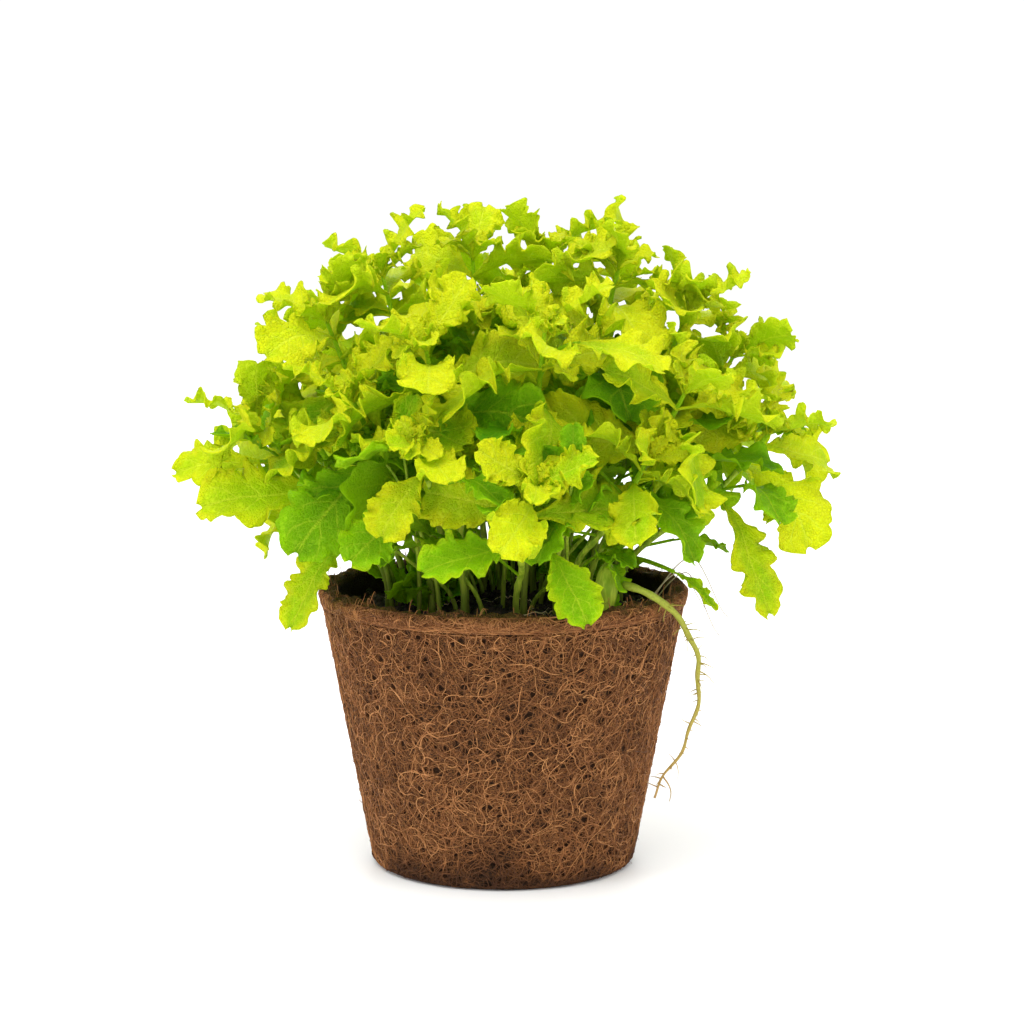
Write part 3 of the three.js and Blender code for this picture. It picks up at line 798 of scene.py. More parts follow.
def smallLeaf(foot, direction, bearing, spreadAngle, length, tone, frill, seed):
    # a leaf from its shoot's direction, the bearing round it and the angle off it
    across = unit(np.cross([0.0, 0.0, 1.0], direction) + [1e-6, 0, 0])
    radial = turnedAbout(across, direction, bearing)
    heading = unit(direction * math.cos(spreadAngle) + radial * math.sin(spreadAngle))
    face = unit(direction * math.sin(spreadAngle) - radial * math.cos(spreadAngle))
    chance = scatter(seed + 977, 3)
    return {
        "foot": foot,
        "heading": heading,
        "face": turnedAbout(face, heading, spread(*smallShape["roll"], chance[0])),
        "length": length,
        "width": length * spread(*smallShape["slim"], chance[1]),
        "bend": spread(*smallShape["bend"], chance[2]),
        "tone": tone,
        "frill": frill,
        "twist": spread(*smallShape["twist"], chance[1]),
        "seed": seed,
    }


crownLook = {
    "frillYoung": 0.86,    # how far the margins curl, in radians
    "frillOld": 0.42,
    "toneTop": 1.0,
    "toneFall": 0.64,      # the lowest pair is this much greener than the top one, partly from age and partly as painted shade under the leaves above
    "strayTone": 0.14,
    "greenShare": 0.16,    # share of the leaves that are much greener than their neighbours
    "greener": 0.34,
    "middle": (0.0, 0.0, 0.105),  # leaves near here are darker and greener than those further out: painted shade inside the plant, painted light on the outer leaves
    "reach": 0.087,
    "shadeByReach": (-0.64, 0.28),
    "widen": (1.24, 1.08),  # inner and outer leaves against the plain leaves of the frame
    "lengthen": (1.34, 1.08),
    "ageLength": 0.033,    # a leaf this far below the tip is fully grown
    "grid": (72, 13),      # points along and across a large leaf
    "smallGrid": (44, 9),
    "smallEach": 4,        # one small leaf for this many large ones
    "smallLength": (0.013, 0.023),
    "budLeaves": 4,
    "budLength": (0.009, 0.020),
    "axisRadii": (0.00115, 0.0006),
}


# a leaf's tone: yellower when young, with painted shade on the inner and lower leaves and painted light on
# the outer ones
def crownTone(age, outer, chance):
    tone = crownLook["toneTop"] - crownLook["toneFall"] * age * (1 - 0.7 * outer)
    tone = tone + crownLook["strayTone"] * spread(-1, 1, chance[0]) + spread(*crownLook["shadeByReach"], outer)
    return tone - crownLook["greener"] * (chance[3] < crownLook["greenShare"])


def besideLeaf(leaf, direction, tone, frill, seed):
    # a small leaf in the angle of a large one
    chance = scatter(seed + 31, 4)
    bearing = math.atan2(leaf["heading"][1], leaf["heading"][0]) + spread(0.6, 2.4, chance[0])
    away = spread(0.45, 1.2, chance[1])
    length = spread(*crownLook["smallLength"], chance[2])
    tone = float(np.clip(tone + 0.05, 0.1, 1))
    foot = leaf["foot"] + direction * 0.001
    return smallLeaf(foot, direction, bearing, away, length, tone, frill, seed * 3)


def budLeaf(number, count, tip, direction):
    # one of the smallest leaves, at the very tip of a shoot
    seed = int(number) * 53 + count * 11
    chance = scatter(seed, 4)
    rank = count / crownLook["budLeaves"]
    away = spread(0.12, 0.8, rank) + 0.2 * chance[1]
    length, frill = spread(*crownLook["budLength"], rank), spread(0.6, 0.85, rank)
    foot = tip - direction * 0.002 * rank
    return smallLeaf(foot, direction, count * 2.4 + chance[0], away, length, 1.0, frill, seed + 5)


def growCrown(number, leaves):
    # a shoot's axis is the line through the feet of its leaves
    feet = np.array([leaf["foot"] for leaf in leaves])
    middle = feet.mean(0)
    _, _, axes = np.linalg.svd(feet - middle)
    direction = axes[0] if axes[0][2] > 0 else -axes[0]
    down = (feet - middle) @ direction
    tip = middle + direction * (down.max() + 0.0005)
    below = down.max() - down
    large, small = [], []
    for count, leaf in enumerate(leaves):
        seed = int(number) * 101 + count * 7
        chance = scatter(seed, 6)
        age = below[count] / crownLook["ageLength"]
        outer = smooth(0.45, 1.0, np.linalg.norm(leaf["foot"] - crownLook["middle"]) / crownLook["reach"])
        tone = crownTone(age, outer, chance)
        frill = spread(crownLook["frillYoung"], crownLook["frillOld"], min(1.0, age))
        large.append({
            **leaf,
            "width": leaf["width"] * spread(*crownLook["widen"], outer),
            "length": leaf["length"] * spread(*crownLook["lengthen"], outer),
            "tone": float(np.clip(tone, 0.08, 1)),
            "frill": frill * spread(0.8, 1.2, chance[1]),
            "twist": spread(-0.45, 0.45, chance[2]),
            "seed": seed,
        })
        if count % crownLook["smallEach"] == 1:
            small.append(besideLeaf(leaf, direction, tone, frill, seed))
    for count in range(crownLook["budLeaves"]):
        small.append(budLeaf(number, count, tip, direction))
    base = tip - direction * (below.max() + 0.003)
    axis = (base + (tip - base) * np.linspace(0, 1, 12)[:, None])[None]
    radii = np.linspace(*crownLook["axisRadii"], 12)[None]
    leafParts = [growLeaves(large, *crownLook["grid"]), growLeaves(small, *crownLook["smallGrid"])]
    return joined(leafParts + [plainTube(axis, radii, 10, 0.6)])


for number, leaves in crowns.items():
    points, faces, places, values = growCrown(number, leaves)
    makePiece("crownLeaves" + number, ["crown_" + number], points, faces, leafPaint, values, places)
print("crowns made with", crownLeafCount, "large leaves")


singleLook = {
    "frill": 0.5,
    "widen": 1.10,
    "lengthen": 1.03,
    "grid": (60, 19),
    "stalkRadii": (0.0009, 0.0007),
    "tones": {"01": 0.86, "02": 0.76, "03": 0.30, "04": 0.34, "05": 0.5,
              "06": 0.86, "07": 0.35, "08": 0.66, "09": 0.9, "10": 1.0},
}
stemPlaces = np.concatenate([smoothRoute(route, 60) for route in stems.values()])


def stalkOf(number, leaf):
    # the stalk runs from the stem nearest the far end of the node's bar to the blade's foot
    places, _ = welded("leaf_" + number)
    distance = np.linalg.norm(places - leaf["foot"], axis=1)
    behind = (places - leaf["foot"]) @ leaf["heading"] < 0
    far = places[np.argmax(np.where(behind, distance, 0))]
    far = stemPlaces[np.argmin(np.linalg.norm(stemPlaces - far, axis=1))]
    inner = leaf["foot"] + leaf["heading"] * leaf["length"] * 0.08
    reach = np.linalg.norm(far - inner)
    pull = leaf["foot"] - leaf["heading"] * reach * 0.45
    t = np.linspace(0, 1, 16)[:, None]
    path = (1 - t) ** 2 * far + 2 * t * (1 - t) * pull + t ** 2 * inner
    return plainTube(path[None], np.linspace(*singleLook["stalkRadii"], 16)[None], 8, 0.55)


def growSingles():
    parts = []
    for number, (leaf,) in singles.items():
        chance = scatter(int(number) + 400, 3)
        spec = {
            **leaf,
            "width": leaf["width"] * singleLook["widen"],
            "length": leaf["length"] * singleLook["lengthen"],
            "tone": singleLook["tones"][number],
            "frill": singleLook["frill"] * spread(0.8, 1.3, chance[0]),
            "twist": spread(-0.4, 0.4, chance[1]),
            "seed": int(number) + 900,
        }
        parts.append(growLeaves([spec], *singleLook["grid"]))
        parts.append(stalkOf(number, leaf))
    return joined(parts)


points, faces, places, values = growSingles()
singleNodes = ["leaf_" + number for number in singles]
makePiece("singleLeaves", singleNodes, points, faces, leafPaint, values, places)
print("single leaves made")


stemSize = {
    "radii": (0.00112, 0.00085),
    "steps": 44,
    "sides": 10,
    "sunk": 0.002,         # how far the foot runs into the soil
    "sway": 0.0008,
    "knuckles": 4,
    "swollen": 0.25,       # how much thicker a knuckle is
}


def growStems():
    paths, radii = [], []
    t = np.linspace(0, 1, stemSize["steps"])
    for number, route in stems.items():
        path = smoothRoute(route, stemSize["steps"])
        path[0] -= [0, 0, stemSize["sunk"]]
        chance = scatter(int(number) + 60, 4)
        sideways = np.sin(math.tau * (1.6 * t + chance[0]))
        forward = np.sin(math.tau * (1.9 * t + chance[1]))
        sway = np.stack([sideways, forward, 0 * t], axis=1)
        paths.append(path + sway * stemSize["sway"] * np.sin(math.pi * t)[:, None])
        place = t * stemSize["knuckles"]
        knuckle = 1 + stemSize["swollen"] * np.exp(-((place - np.round(place)) / 0.09) ** 2)
        radii.append(np.linspace(*stemSize["radii"], stemSize["steps"]) * knuckle)
    return tubes(np.array(paths), np.array(radii), stemSize["sides"])


points, faces, places, share, _ = growStems()
stemNodes = ["stem_" + number for number in stems]
makePiece("stems", stemNodes, points, faces, stemPaint, {"share": share}, places)
print("stems made")


lowLook = {
    "each": 4,             # leaves low on each stem
    "length": (0.014, 0.030),
    # low tones make these leaves dark green: partly their own colour, partly painted shade under the foliage
    "tone": (-0.1, 0.40),
    "grid": (40, 11),
    "thinStems": 26,
    "thinRadii": (0.0008, 0.00045),
    "thinSteps": 24,
    "tipLeaves": 2,        # on each thin stem
    "tipLength": (0.014, 0.024),
    "tipTone": (0.1, 0.6),
    "ground": 60,          # leaves that rise from the soil itself
    "groundLength": (0.012, 0.027),
    # the ground leaves' low tones: partly their own dark green, partly painted shade near the soil
    "groundTone": (-0.2, 0.25),
    "bareFront": 0.28,     # the soil stays bare in front of this share of its radius
    "clearOfSwell": 0.018,
    "sideGrid": (36, 11),
}
_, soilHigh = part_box("soil")
swellLow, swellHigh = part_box("swollen_base")
swellPlace = (swellLow + swellHigh) / 2


def lowLeaf(path, number, count):
    # a small leaf and its stalk, on a stem
    seed = int(number) * 17 + count + 3000
    chance = scatter(seed, 6)
    at = int(spread(14, 56, (count + chance[0]) / lowLook["each"]))
    foot = path[at]
    along = unit(path[at + 1] - path[at - 1])
    high = (foot[2] - soilHigh.z) / 0.06
    length = spread(*lowLook["length"], min(1, 0.3 + high)) * spread(0.75, 1.1, chance[1])
    bearing = math.atan2(foot[1], foot[0]) + spread(-1.9, 1.9, chance[3])
    tilt = spread(0.1, 1.0, chance[4])
    heading = unit(np.array([math.cos(bearing), math.sin(bearing), tilt]))
    sideways = unit(np.cross(heading, [0.0, 0.0, 1.0]))
    face = turnedAbout(np.cross(sideways, heading), heading, spread(-0.5, 0.5, chance[5]))
    stalk = length * 0.45
    leaf = smallLeaf(foot, along, 0.0, 0.9, length, spread(*lowLook["tone"], chance[2]), 0.45, seed)
    leaf.update({"foot": foot + heading * (0.0006 + stalk), "heading": heading, "face": face})
    return leaf, foot + heading * np.linspace(0, 1, 8)[:, None] * (stalk + length * 0.12)


def growLower():
    specs, paths = [], []
    for number, route in stems.items():
        path = smoothRoute(route, 60)
        for count in range(lowLook["each"]):
            leaf, stalk = lowLeaf(path, number, count)
            specs.append(leaf)
            paths.append(stalk)
    radii = np.tile(np.linspace(0.00055, 0.0005, 8), (len(paths), 1))
    return joined([growLeaves(specs, *lowLook["grid"]), plainTube(np.array(paths), radii, 6, 0.45)])


def thinStemPaths():
    # thin stems that rise from the soil between the others and lean outward
    t = np.linspace(0, 1, lowLook["thinSteps"])[:, None]
    paths = []
    for count in range(lowLook["thinStems"]):
        chance = scatter(4100 + count, 6)
        near = spread(0.1, 0.75, chance[1]) * soilHigh.x
        far = near + spread(0.005, 0.045, chance[2])
        high = spread(0.02, 0.065, chance[3])
        swing = count * 2.4 + chance[0] + spread(-0.5, 0.5, chance[4]) * t
        radius = near + (far - near) * t ** 1.7
        z = soilHigh.z - 0.004 + high * t ** 0.85 + 0.001 * np.sin(t * 9)
        paths.append(np.concatenate([radius * np.cos(swing), radius * np.sin(swing), z], axis=1))
    return np.array(paths)


def tipLeavesOf(count, path):
    leaves = []
    along = unit(path[-1] - path[-3])
    for extra in range(lowLook["tipLeaves"]):
        seed = 5200 + count * 3 + extra
        chance = scatter(seed, 4)
        bearing, away = extra * 2.1 + chance[0] * 2, spread(0.3, 0.9, chance[1])
        length, tone = spread(*lowLook["tipLength"], chance[2]), spread(*lowLook["tipTone"], chance[3])
        leaves.append(smallLeaf(path[-1 - extra * 4], along, bearing, away, length, tone, 0.6, seed))
    return leaves


def groundLeaves():
    leaves = []
    for count in range(lowLook["ground"]):
        chance = scatter(7300 + count, 7)
        bearing = count * 2.39996 + chance[0]
        near = math.sqrt(spread(0.06, 0.55, chance[1])) * soilHigh.x
        sunk = 0.0025 + 0.002 * (near / soilHigh.x) ** 2
        foot = np.array([math.cos(bearing) * near, math.sin(bearing) * near, soilHigh.z - sunk])
        if foot[1] < -lowLook["bareFront"] * soilHigh.x:
            continue
        if np.hypot(foot[0] - swellPlace.x, foot[1] - swellPlace.y) < lowLook["clearOfSwell"]:
            continue
        lean = spread(0.2, 0.75, chance[2])
        way = bearing + spread(-1.2, 1.2, chance[3])
        along = unit(np.array([math.cos(way) * lean, math.sin(way) * lean, 1.0]))
        turn, away = chance[4] * math.tau, spread(0.1, 0.5, chance[5])
        length, tone = spread(*lowLook["groundLength"], chance[6]), spread(*lowLook["groundTone"], chance[4])
        leaves.append(smallLeaf(foot, along, turn, away, length, tone, 0.4, 7300 + count))
    return leaves


points, faces, places, values = growLower()
makePiece("lowerLeaves", [], points, faces, leafPaint, values, places)
thinPaths = thinStemPaths()
thinRadii = np.tile(np.linspace(*lowLook["thinRadii"], lowLook["thinSteps"]), (len(thinPaths), 1))
points, faces, places, share, _ = tubes(thinPaths, thinRadii, 7)
makePiece("thinStems", [], points, faces, stemPaint, {"share": share}, places)
sideLeaves = [leaf for count, path in enumerate(thinPaths) for leaf in tipLeavesOf(count, path)]
points, faces, places, values = growLeaves(sideLeaves + groundLeaves(), *lowLook["sideGrid"])
makePiece("sideLeaves", [], points, faces, leafPaint, values, places)
print("lower leaves made")


def readPot():
    # the pot's outer radius at each height, its top and its inner radius there
    places, _ = welded("pot")
    radius = np.hypot(places[:, 0], places[:, 1])
    heights = np.unique(np.round(places[:, 2], 4))
    widest = [(z, radius[np.abs(places[:, 2] - z) < 1e-4].max()) for z in heights]
    outer = [widest[0]]
    for here, after in zip(widest[1:], widest[2:]):
        straight = np.interp(here[0], (outer[-1][0], after[0]), (outer[-1][1], after[1]))
        if here[1] > straight - 0.001:  # the pot's floor is left out
            outer.append(here)
    outer.append(widest[-1])
    top = heights[-1]
    inner = radius[np.abs(places[:, 2] - top) < 1e-4].min()
    return np.array(outer), top, inner


potOuter, potTop, potInner = readPot()
potLow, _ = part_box("pot")
soilEdge = potTop - 0.008
coir = {
    "around": 520,
    "up": 150,
    "inset": 0.0005,       # the wall behind the strands
    "pitCell": 0.0035,     # spacing of the pits
    "pitRadius": (0.0005, 0.0014),
    "pitShare": 0.85,
    "pitDepth": 0.0008,
    "strands": 5700,
    "strandPieces": 3,
    "strandSteps": 16,
    "strandStep": 0.0012,
    "strandWidth": (0.00006, 0.00016),
    "curl": 0.37,
    "rimStrands": 1300,
    "fuzz": 260,
    "fuzzWidth": (0.00007, 0.00014),
}
lip = {"cord": 0.0046, "cordHalf": 0.0003, "groove": 0.0058, "grooveHalf": 0.00035}  # below the rim's top


def potRadius(z):
    return np.interp(z, potOuter[:, 0], potOuter[:, 1])


def pitField():
    # a loose grid of pits over the wall: angle, height and radius of each
    rows = int(potTop / coir["pitCell"])
    columns = int(math.tau * 0.052 / coir["pitCell"])
    chance = scatter(77, rows * columns * 4).reshape(rows, columns, 4)
    row, column = np.meshgrid(np.arange(rows), np.arange(columns), indexing="ij")
    angle = (column + 0.1 + 0.8 * chance[..., 0]) / columns * math.tau
    height = (row + 0.1 + 0.8 * chance[..., 1]) / rows * potTop
    there = chance[..., 3] > 1 - coir["pitShare"]
    return angle, height, spread(*coir["pitRadius"], chance[..., 2] ** 1.4) * there


pitAngle, pitHeight, pitRadius = pitField()


def nearestPits(angle, height):
    # the nine pits of the grid about each place: gap along the arc, gap in height, radius
    rows, columns = pitAngle.shape
    row = np.clip((height / potTop * rows).astype(int), 0, rows - 1)
    column = np.floor(angle / math.tau * columns).astype(int)
    for down in (-1, 0, 1):
        for side in (-1, 0, 1):
            r = np.clip(row + down, 0, rows - 1)
            c = (column + side) % columns
            turn = (angle - pitAngle[r, c] + math.pi) % math.tau - math.pi
            yield turn * potRadius(height), height - pitHeight[r, c], pitRadius[r, c]


def pushedOff(angle, height):
    # strands bend round the pits
    for arc, rise, radius in list(nearestPits(angle, height)):
        gap = np.hypot(arc, rise)
        push = np.maximum(0, radius * 0.92 - gap) / np.maximum(gap, 1e-6)
        angle = angle + arc * push / potRadius(height)
        height = height + rise * push
    return angle, np.clip(height, 0.0006, potTop - 0.0003)


def wave(x, y, z, scale, seed):
    # cheap smooth noise made of sines, about -1 to 1
    total = np.zeros(np.broadcast(x, y, z).shape)
    for row in scatter(seed, 18).reshape(6, 3):
        way = unit(row - 0.5) * scale * (0.7 + row[0])
        total = total + np.sin(math.tau * (x * way[0] + y * way[1] + z * way[2] + row[1]))
    return total / 3.2


def lathed(profile, around):
    # a closed skin from a profile of (radius, height) turned about the z axis: points, faces, places
    turn = np.arange(around) / around * math.tau
    ring = np.stack([np.cos(turn), np.sin(turn)], axis=-1)
    flat = profile[:, None, :1] * ring
    tall = np.repeat(profile[:, None, 1:], around, axis=1)
    points = np.concatenate([flat, tall], axis=-1).reshape(-1, 3)
    index = np.arange(len(points)).reshape(-1, around)
    after = np.roll(index, -1, axis=1)
    quads = np.stack([index[:-1], after[:-1], after[1:], index[1:]], axis=-1).reshape(-1, 4)
    caps = np.stack([index[0, ::-1], index[-1]])
    rows = len(profile) - 1
    v, u = np.meshgrid(np.arange(rows) / rows, np.arange(around) / around, indexing="ij")
    boxU = np.stack([u, u + 1 / around, u + 1 / around, u], axis=-1)
    boxV = np.stack([v, v, v + 1 / rows, v + 1 / rows], axis=-1)
    boxes = np.stack([boxU, boxV], axis=-1).reshape(-1, 4, 2)
    discs = 0.001 * ring + np.array([[(0.999, 0.0015)], [(0.999, 0.998)]])
    return points, [quads, caps], [boxes, discs]


def stainAt(height, around):
    # damp dark patches about the foot, from 0 to 1
    top = 0.010 + 0.006 * np.sin(around * 3 + 0.6) + 0.004 * np.sin(around * 8 + 2)
    return 0.75 * (1 - smooth(0.15, 1.2, height / top))


def potProfile():
    # from the middle of the underside up the wall, over the rim and down to the soil
    z = np.linspace(potLow.z, potTop, coir["up"])
    outer = np.stack([potRadius(z) - coir["inset"], z], axis=1)
    rim = np.linspace(outer[-1][0] - 0.0006, potInner + 0.0006, 6)
    floorHeight = soilEdge - 0.004
    inZ = np.linspace(potTop - 0.0005, floorHeight, 12)
    slope = (potOuter[-1][1] - potOuter[1][1]) / potTop
    inner = np.stack([potInner - (potTop - inZ) * slope, inZ], axis=1)
    bottom = np.linspace(0.008, outer[0][0] - 0.001, 12)
    under = np.linspace(inner[-1][0] - 0.001, 0.008, 8)

    def level(radii, height):
        return np.stack([radii, np.full(len(radii), height)], axis=1)

    bottom, rim, under = level(bottom, potLow.z), level(rim, potTop), level(under, floorHeight)
    return np.concatenate([bottom, outer, rim, inner, under])


def growPotBody():
    points, faces, places = lathed(potProfile(), coir["around"])
    x, y, height = points.copy().T
    radius = np.hypot(x, y)
    around = np.arctan2(y, x)
    onWall = (radius > potRadius(height) - 0.0007) & (height > 0.0015)
    lumps = 0.00045 * wave(x, y, height, 160, 5) + 0.0003 * wave(x, y, height, 420, 6)
    pit = np.zeros(len(points))
    for arc, rise, size in nearestPits(around, height):
        share = 1 - np.hypot(arc, rise) / np.maximum(size, 1e-6)
        pit = np.maximum(pit, smooth(-0.1, 0.55, share) * (size > 0))
    # the groove under the cord is dented and painted dark with the pits: a painted shadow line
    groove = np.exp(-((height - (potTop - lip["groove"])) / lip["grooveHalf"]) ** 2)
    pit = np.maximum(pit, groove * 0.45) * onWall
    push = np.where(onWall, lumps - pit * coir["pitDepth"], lumps * 0.4 * (height > 0.001))
    points[:, 0] += push * x / np.maximum(radius, 1e-6)
    points[:, 1] += push * y / np.maximum(radius, 1e-6)
    ragged = 0.0005 * np.sin(around * 7 + 1) + 0.0004 * np.sin(around * 17 + 2) + 0.0003 * np.sin(around * 41)
    onRim = np.where(height > potTop - 0.0008, lumps * 0.8, 0)
    points[:, 2] += ragged * smooth(potTop - 0.004, potTop, height) + onRim
    height = points[:, 2]
    # the inner wall under the rim is painted dark: painted shade inside the pot
    inside = smooth(potInner + 0.0012, potInner, radius) * smooth(potTop, potTop - 0.003, height)
    values = {
        "pit": pit,
        "moss": smooth(potTop - 0.005, potTop, height),
        "inside": inside * (height > 0.02) * (1 - onWall),
        "stain": stainAt(height, around),
    }
    makePiece("potBody", ["pot"], points, faces, coirBasePaint, values, places)


def wallPath(start, heading, steps, step, seed, wander, low, high):
    # many strands wandering over the wall at once, each from its own angle and height
    chance = scatter(seed, len(start) * 6).reshape(-1, 6)
    angle, height = start.T
    curl = spread(-coir["curl"], coir["curl"], chance[:, 0]) * wander
    places = []
    for count in range(steps):
        places.append(np.stack([angle, height], axis=1))
        sway = np.sin(math.tau * (count * spread(0.03, 0.13, chance[:, 1]) + chance[:, 2]))
        heading = heading + curl + 0.35 * wander * sway
        angle = angle + step * np.cos(heading) / potRadius(height)
        height = height + step * np.sin(heading)
        heading = np.where((height < low) | (height > high), -heading, heading)
        height = np.clip(height, low, high)
    return np.stack(places, axis=1), chance


def growStrands(count, seed, rim=False):
    # strands over the whole wall, or the lip's own above its groove, where some lie along a cord
    chance = scatter(seed, count * 3).reshape(count, 3)
    groove, top = potTop - lip["groove"], potTop - 0.0004
    if rim:
        onCord = chance[:, 2] > 0.62
        cord = lip["cord"] + lip["cordHalf"] * (chance[:, 1] * 2 - 1)
        angle = chance[:, 0] * math.tau * 7
        height = potTop - np.where(onCord, cord, spread(0.0, 0.004, chance[:, 1]))
        heading = np.where(onCord, 0.0, spread(-1.5, 1.5, chance[:, 0] * 5 % 1))
        low, high = groove + lip["grooveHalf"], top
        wander = np.where(onCord, 0.1, 0.9)
    else:
        angle = chance[:, 0] * math.tau
        height = spread(0.001, potTop - 0.001, chance[:, 1])
        heading = chance[:, 2] * math.tau
        low = 0.0008
        high = np.where(chance[:, 0] * 9 % 1 > 0.5, groove - lip["grooveHalf"], top)
        wander = 1.0
    start = np.stack([angle, height], axis=1)
    step = coir["strandStep"] * (0.6 + 0.9 * scatter(seed + 1, count))
    path, more = wallPath(start, heading, coir["strandSteps"], step, seed + 2, wander, low, high)
    if not rim:
        path = np.stack(pushedOff(path[..., 0], path[..., 1]), axis=-1)
    t = np.linspace(0, 1, coir["strandSteps"])[None]
    rise = np.sin(math.tau * (t * spread(1, 3, more[:, 3:4]) + more[:, 4:5]))
    over = 0.00022 + 0.0002 * rise + 0.0003 * more[:, 5:6] ** 4
    angle, height = path[..., 0], path[..., 1]
    radius = potRadius(height) - coir["inset"] + over + (0.0003 if rim else 0)
    points = np.stack([radius * np.cos(angle), radius * np.sin(angle), height], axis=-1)
    taper = np.clip(np.minimum(t, 1 - t) * 6 + 0.35, 0, 1)
    return points, spread(*coir["strandWidth"], more[:, 2:3] ** 1.6) * taper, scatter(seed + 3, count)


def growFuzz():
    # short loose ends that stand off the rim and the wall
    count = coir["fuzz"]
    chance = scatter(311, count * 8).reshape(count, 8)
    t = np.linspace(0, 1, 9)[None]
    angle = chance[:, 0:1] * math.tau + spread(-0.06, 0.06, chance[:, 1:2]) * t
    atRim = chance[:, 2:3] > 0.35
    height = np.where(atRim, potTop - 0.0008, potTop * chance[:, 3:4] ** 1.5 + 0.001)
    rise = np.where(atRim, spread(0.001, 0.005, chance[:, 4:5]), spread(-0.001, 0.002, chance[:, 4:5]))
    out = np.where(atRim, spread(-0.0015, 0.0015, chance[:, 5:6]), spread(0.0008, 0.0022, chance[:, 5:6]))
    lane = np.where(atRim, -spread(0.0003, 0.0035, chance[:, 6:7]), -coir["inset"])
    radius = potRadius(height + 0 * t) + lane + out * np.sin(t * math.pi * 0.8)
    z = height + rise * np.sin(t * math.pi * spread(0.5, 0.95, chance[:, 7:8]))
    points = np.stack([radius * np.cos(angle), radius * np.sin(angle), z], axis=-1)
    return points, spread(*coir["fuzzWidth"], chance[:, 4:5]) * (1.1 - t), chance[:, 1]


def fibrePart(path, width, chance):
    points, faces, places, _, number = tubes(path, width, 3)
    return points, faces, places, {"chance": chance[number]}


growPotBody()
for count in range(coir["strandPieces"]):
    part = fibrePart(*growStrands(coir["strands"] // coir["strandPieces"], 1000 + count * 40))
    points, faces, places, values = part
    stain = stainAt(points[:, 2], np.arctan2(points[:, 1], points[:, 0]))
    values["chance"] = values["chance"] * (1 - stain) - 0.3 * stain
    makePiece("potFibres%d" % (count + 1), [], points, faces, coirFibrePaint, values, places)
rimPart = fibrePart(*growStrands(coir["rimStrands"], 2000, rim=True))
points, faces, places, values = joined([rimPart, fibrePart(*growFuzz())])
makePiece("potRimFibres", [], points, faces, coirFibrePaint, values, places)
print("pot made")


soil = {
    "around": 150,
    "rings": 60,
    "lump": 0.0013,
    "crumbs": 900,
    "crumbSize": (0.0004, 0.0017),
    "roots": 34,
    "rootSteps": 24,
    "rootWidth": (0.00012, 0.00032),
}


def soilHeight(x, y):
    share = np.hypot(x, y) / soilHigh.x
    dome = soilEdge + (soilHigh.z - soilEdge) * (1 - share ** 2)
    rough = wave(x, y, 0.0, 130, 21) + 0.6 * wave(x, y, 0.0, 330, 22) + 0.35 * wave(x, y, 0.0, 700, 23)
    return dome + soil["lump"] * rough * 0.8 - 0.0006


def growSoil():
    radii = np.linspace(0.0006, soilHigh.x * 0.995, soil["rings"])
    top = np.stack([radii, radii * 0], axis=1)
    wall = np.array([(soilHigh.x * 0.99, -0.004), (soilHigh.x * 0.93, -0.02)])
    points, faces, places = lathed(np.concatenate([top, wall]), soil["around"])
    isTop = np.arange(len(points)) < len(radii) * soil["around"]
    points[:, 2] = np.where(isTop, soilHeight(points[:, 0], points[:, 1]), soilEdge + points[:, 2])
    faces, places = [group[:, ::-1] for group in faces], [group[:, ::-1] for group in places]
    makePiece("soilBed", ["soil"], points, faces, soilPaint, None, places)


def crumbBall():
    # a ball of twelve corners and twenty triangles that face outward
    golden = (1 + math.sqrt(5)) / 2
    corners = []
    for a in (-1, 1):
        for b in (-golden, golden):
            corners += [(0, a, b), (a, b, 0), (b, 0, a)]
    ball = unit(np.array(corners, float))
    triangles = []
    for i, j, k in ((i, j, k) for i in range(12) for j in range(i + 1, 12) for k in range(j + 1, 12)):
        if max(np.linalg.norm(ball[[i, j, i]] - ball[[j, k, k]], axis=1)) < 1.2:
            outward = np.dot(np.cross(ball[j] - ball[i], ball[k] - ball[i]), ball[i]) > 0
            triangles.append((i, j, k) if outward else (k, j, i))
    return ball, np.array(triangles)


def growCrumbs():
    ball, triangles = crumbBall()
    count = soil["crumbs"]
    chance = scatter(500, count * 4).reshape(count, 4)
    radius = np.sqrt(chance[:, 0]) * soilHigh.x * 0.97
    angle = chance[:, 1] * math.tau
    x, y = radius * np.cos(angle), radius * np.sin(angle)
    size = spread(*soil["crumbSize"], chance[:, 2] ** 2.2)
    z = soilHeight(x, y) + size * 0.35
    size = np.minimum(size, np.maximum(soilHigh.x * 0.99 - radius, 0.0003))
    jitter = spread(0.65, 1.2, scatter(501, count * 12).reshape(count, 12, 1))
    points = ball * jitter * size[:, None, None] + np.stack([x, y, z], axis=1)[:, None]
    faces = (triangles + 12 * np.arange(count)[:, None, None]).reshape(-1, 3)
    corner, cell = cells(len(faces))
    places = corner[:, None] + np.array([(0.1, 0.1), (0.9, 0.1), (0.1, 0.9)]) * cell
    makePiece("soilCrumbs", [], points.reshape(-1, 3), [faces], soilPaint, None, [places])


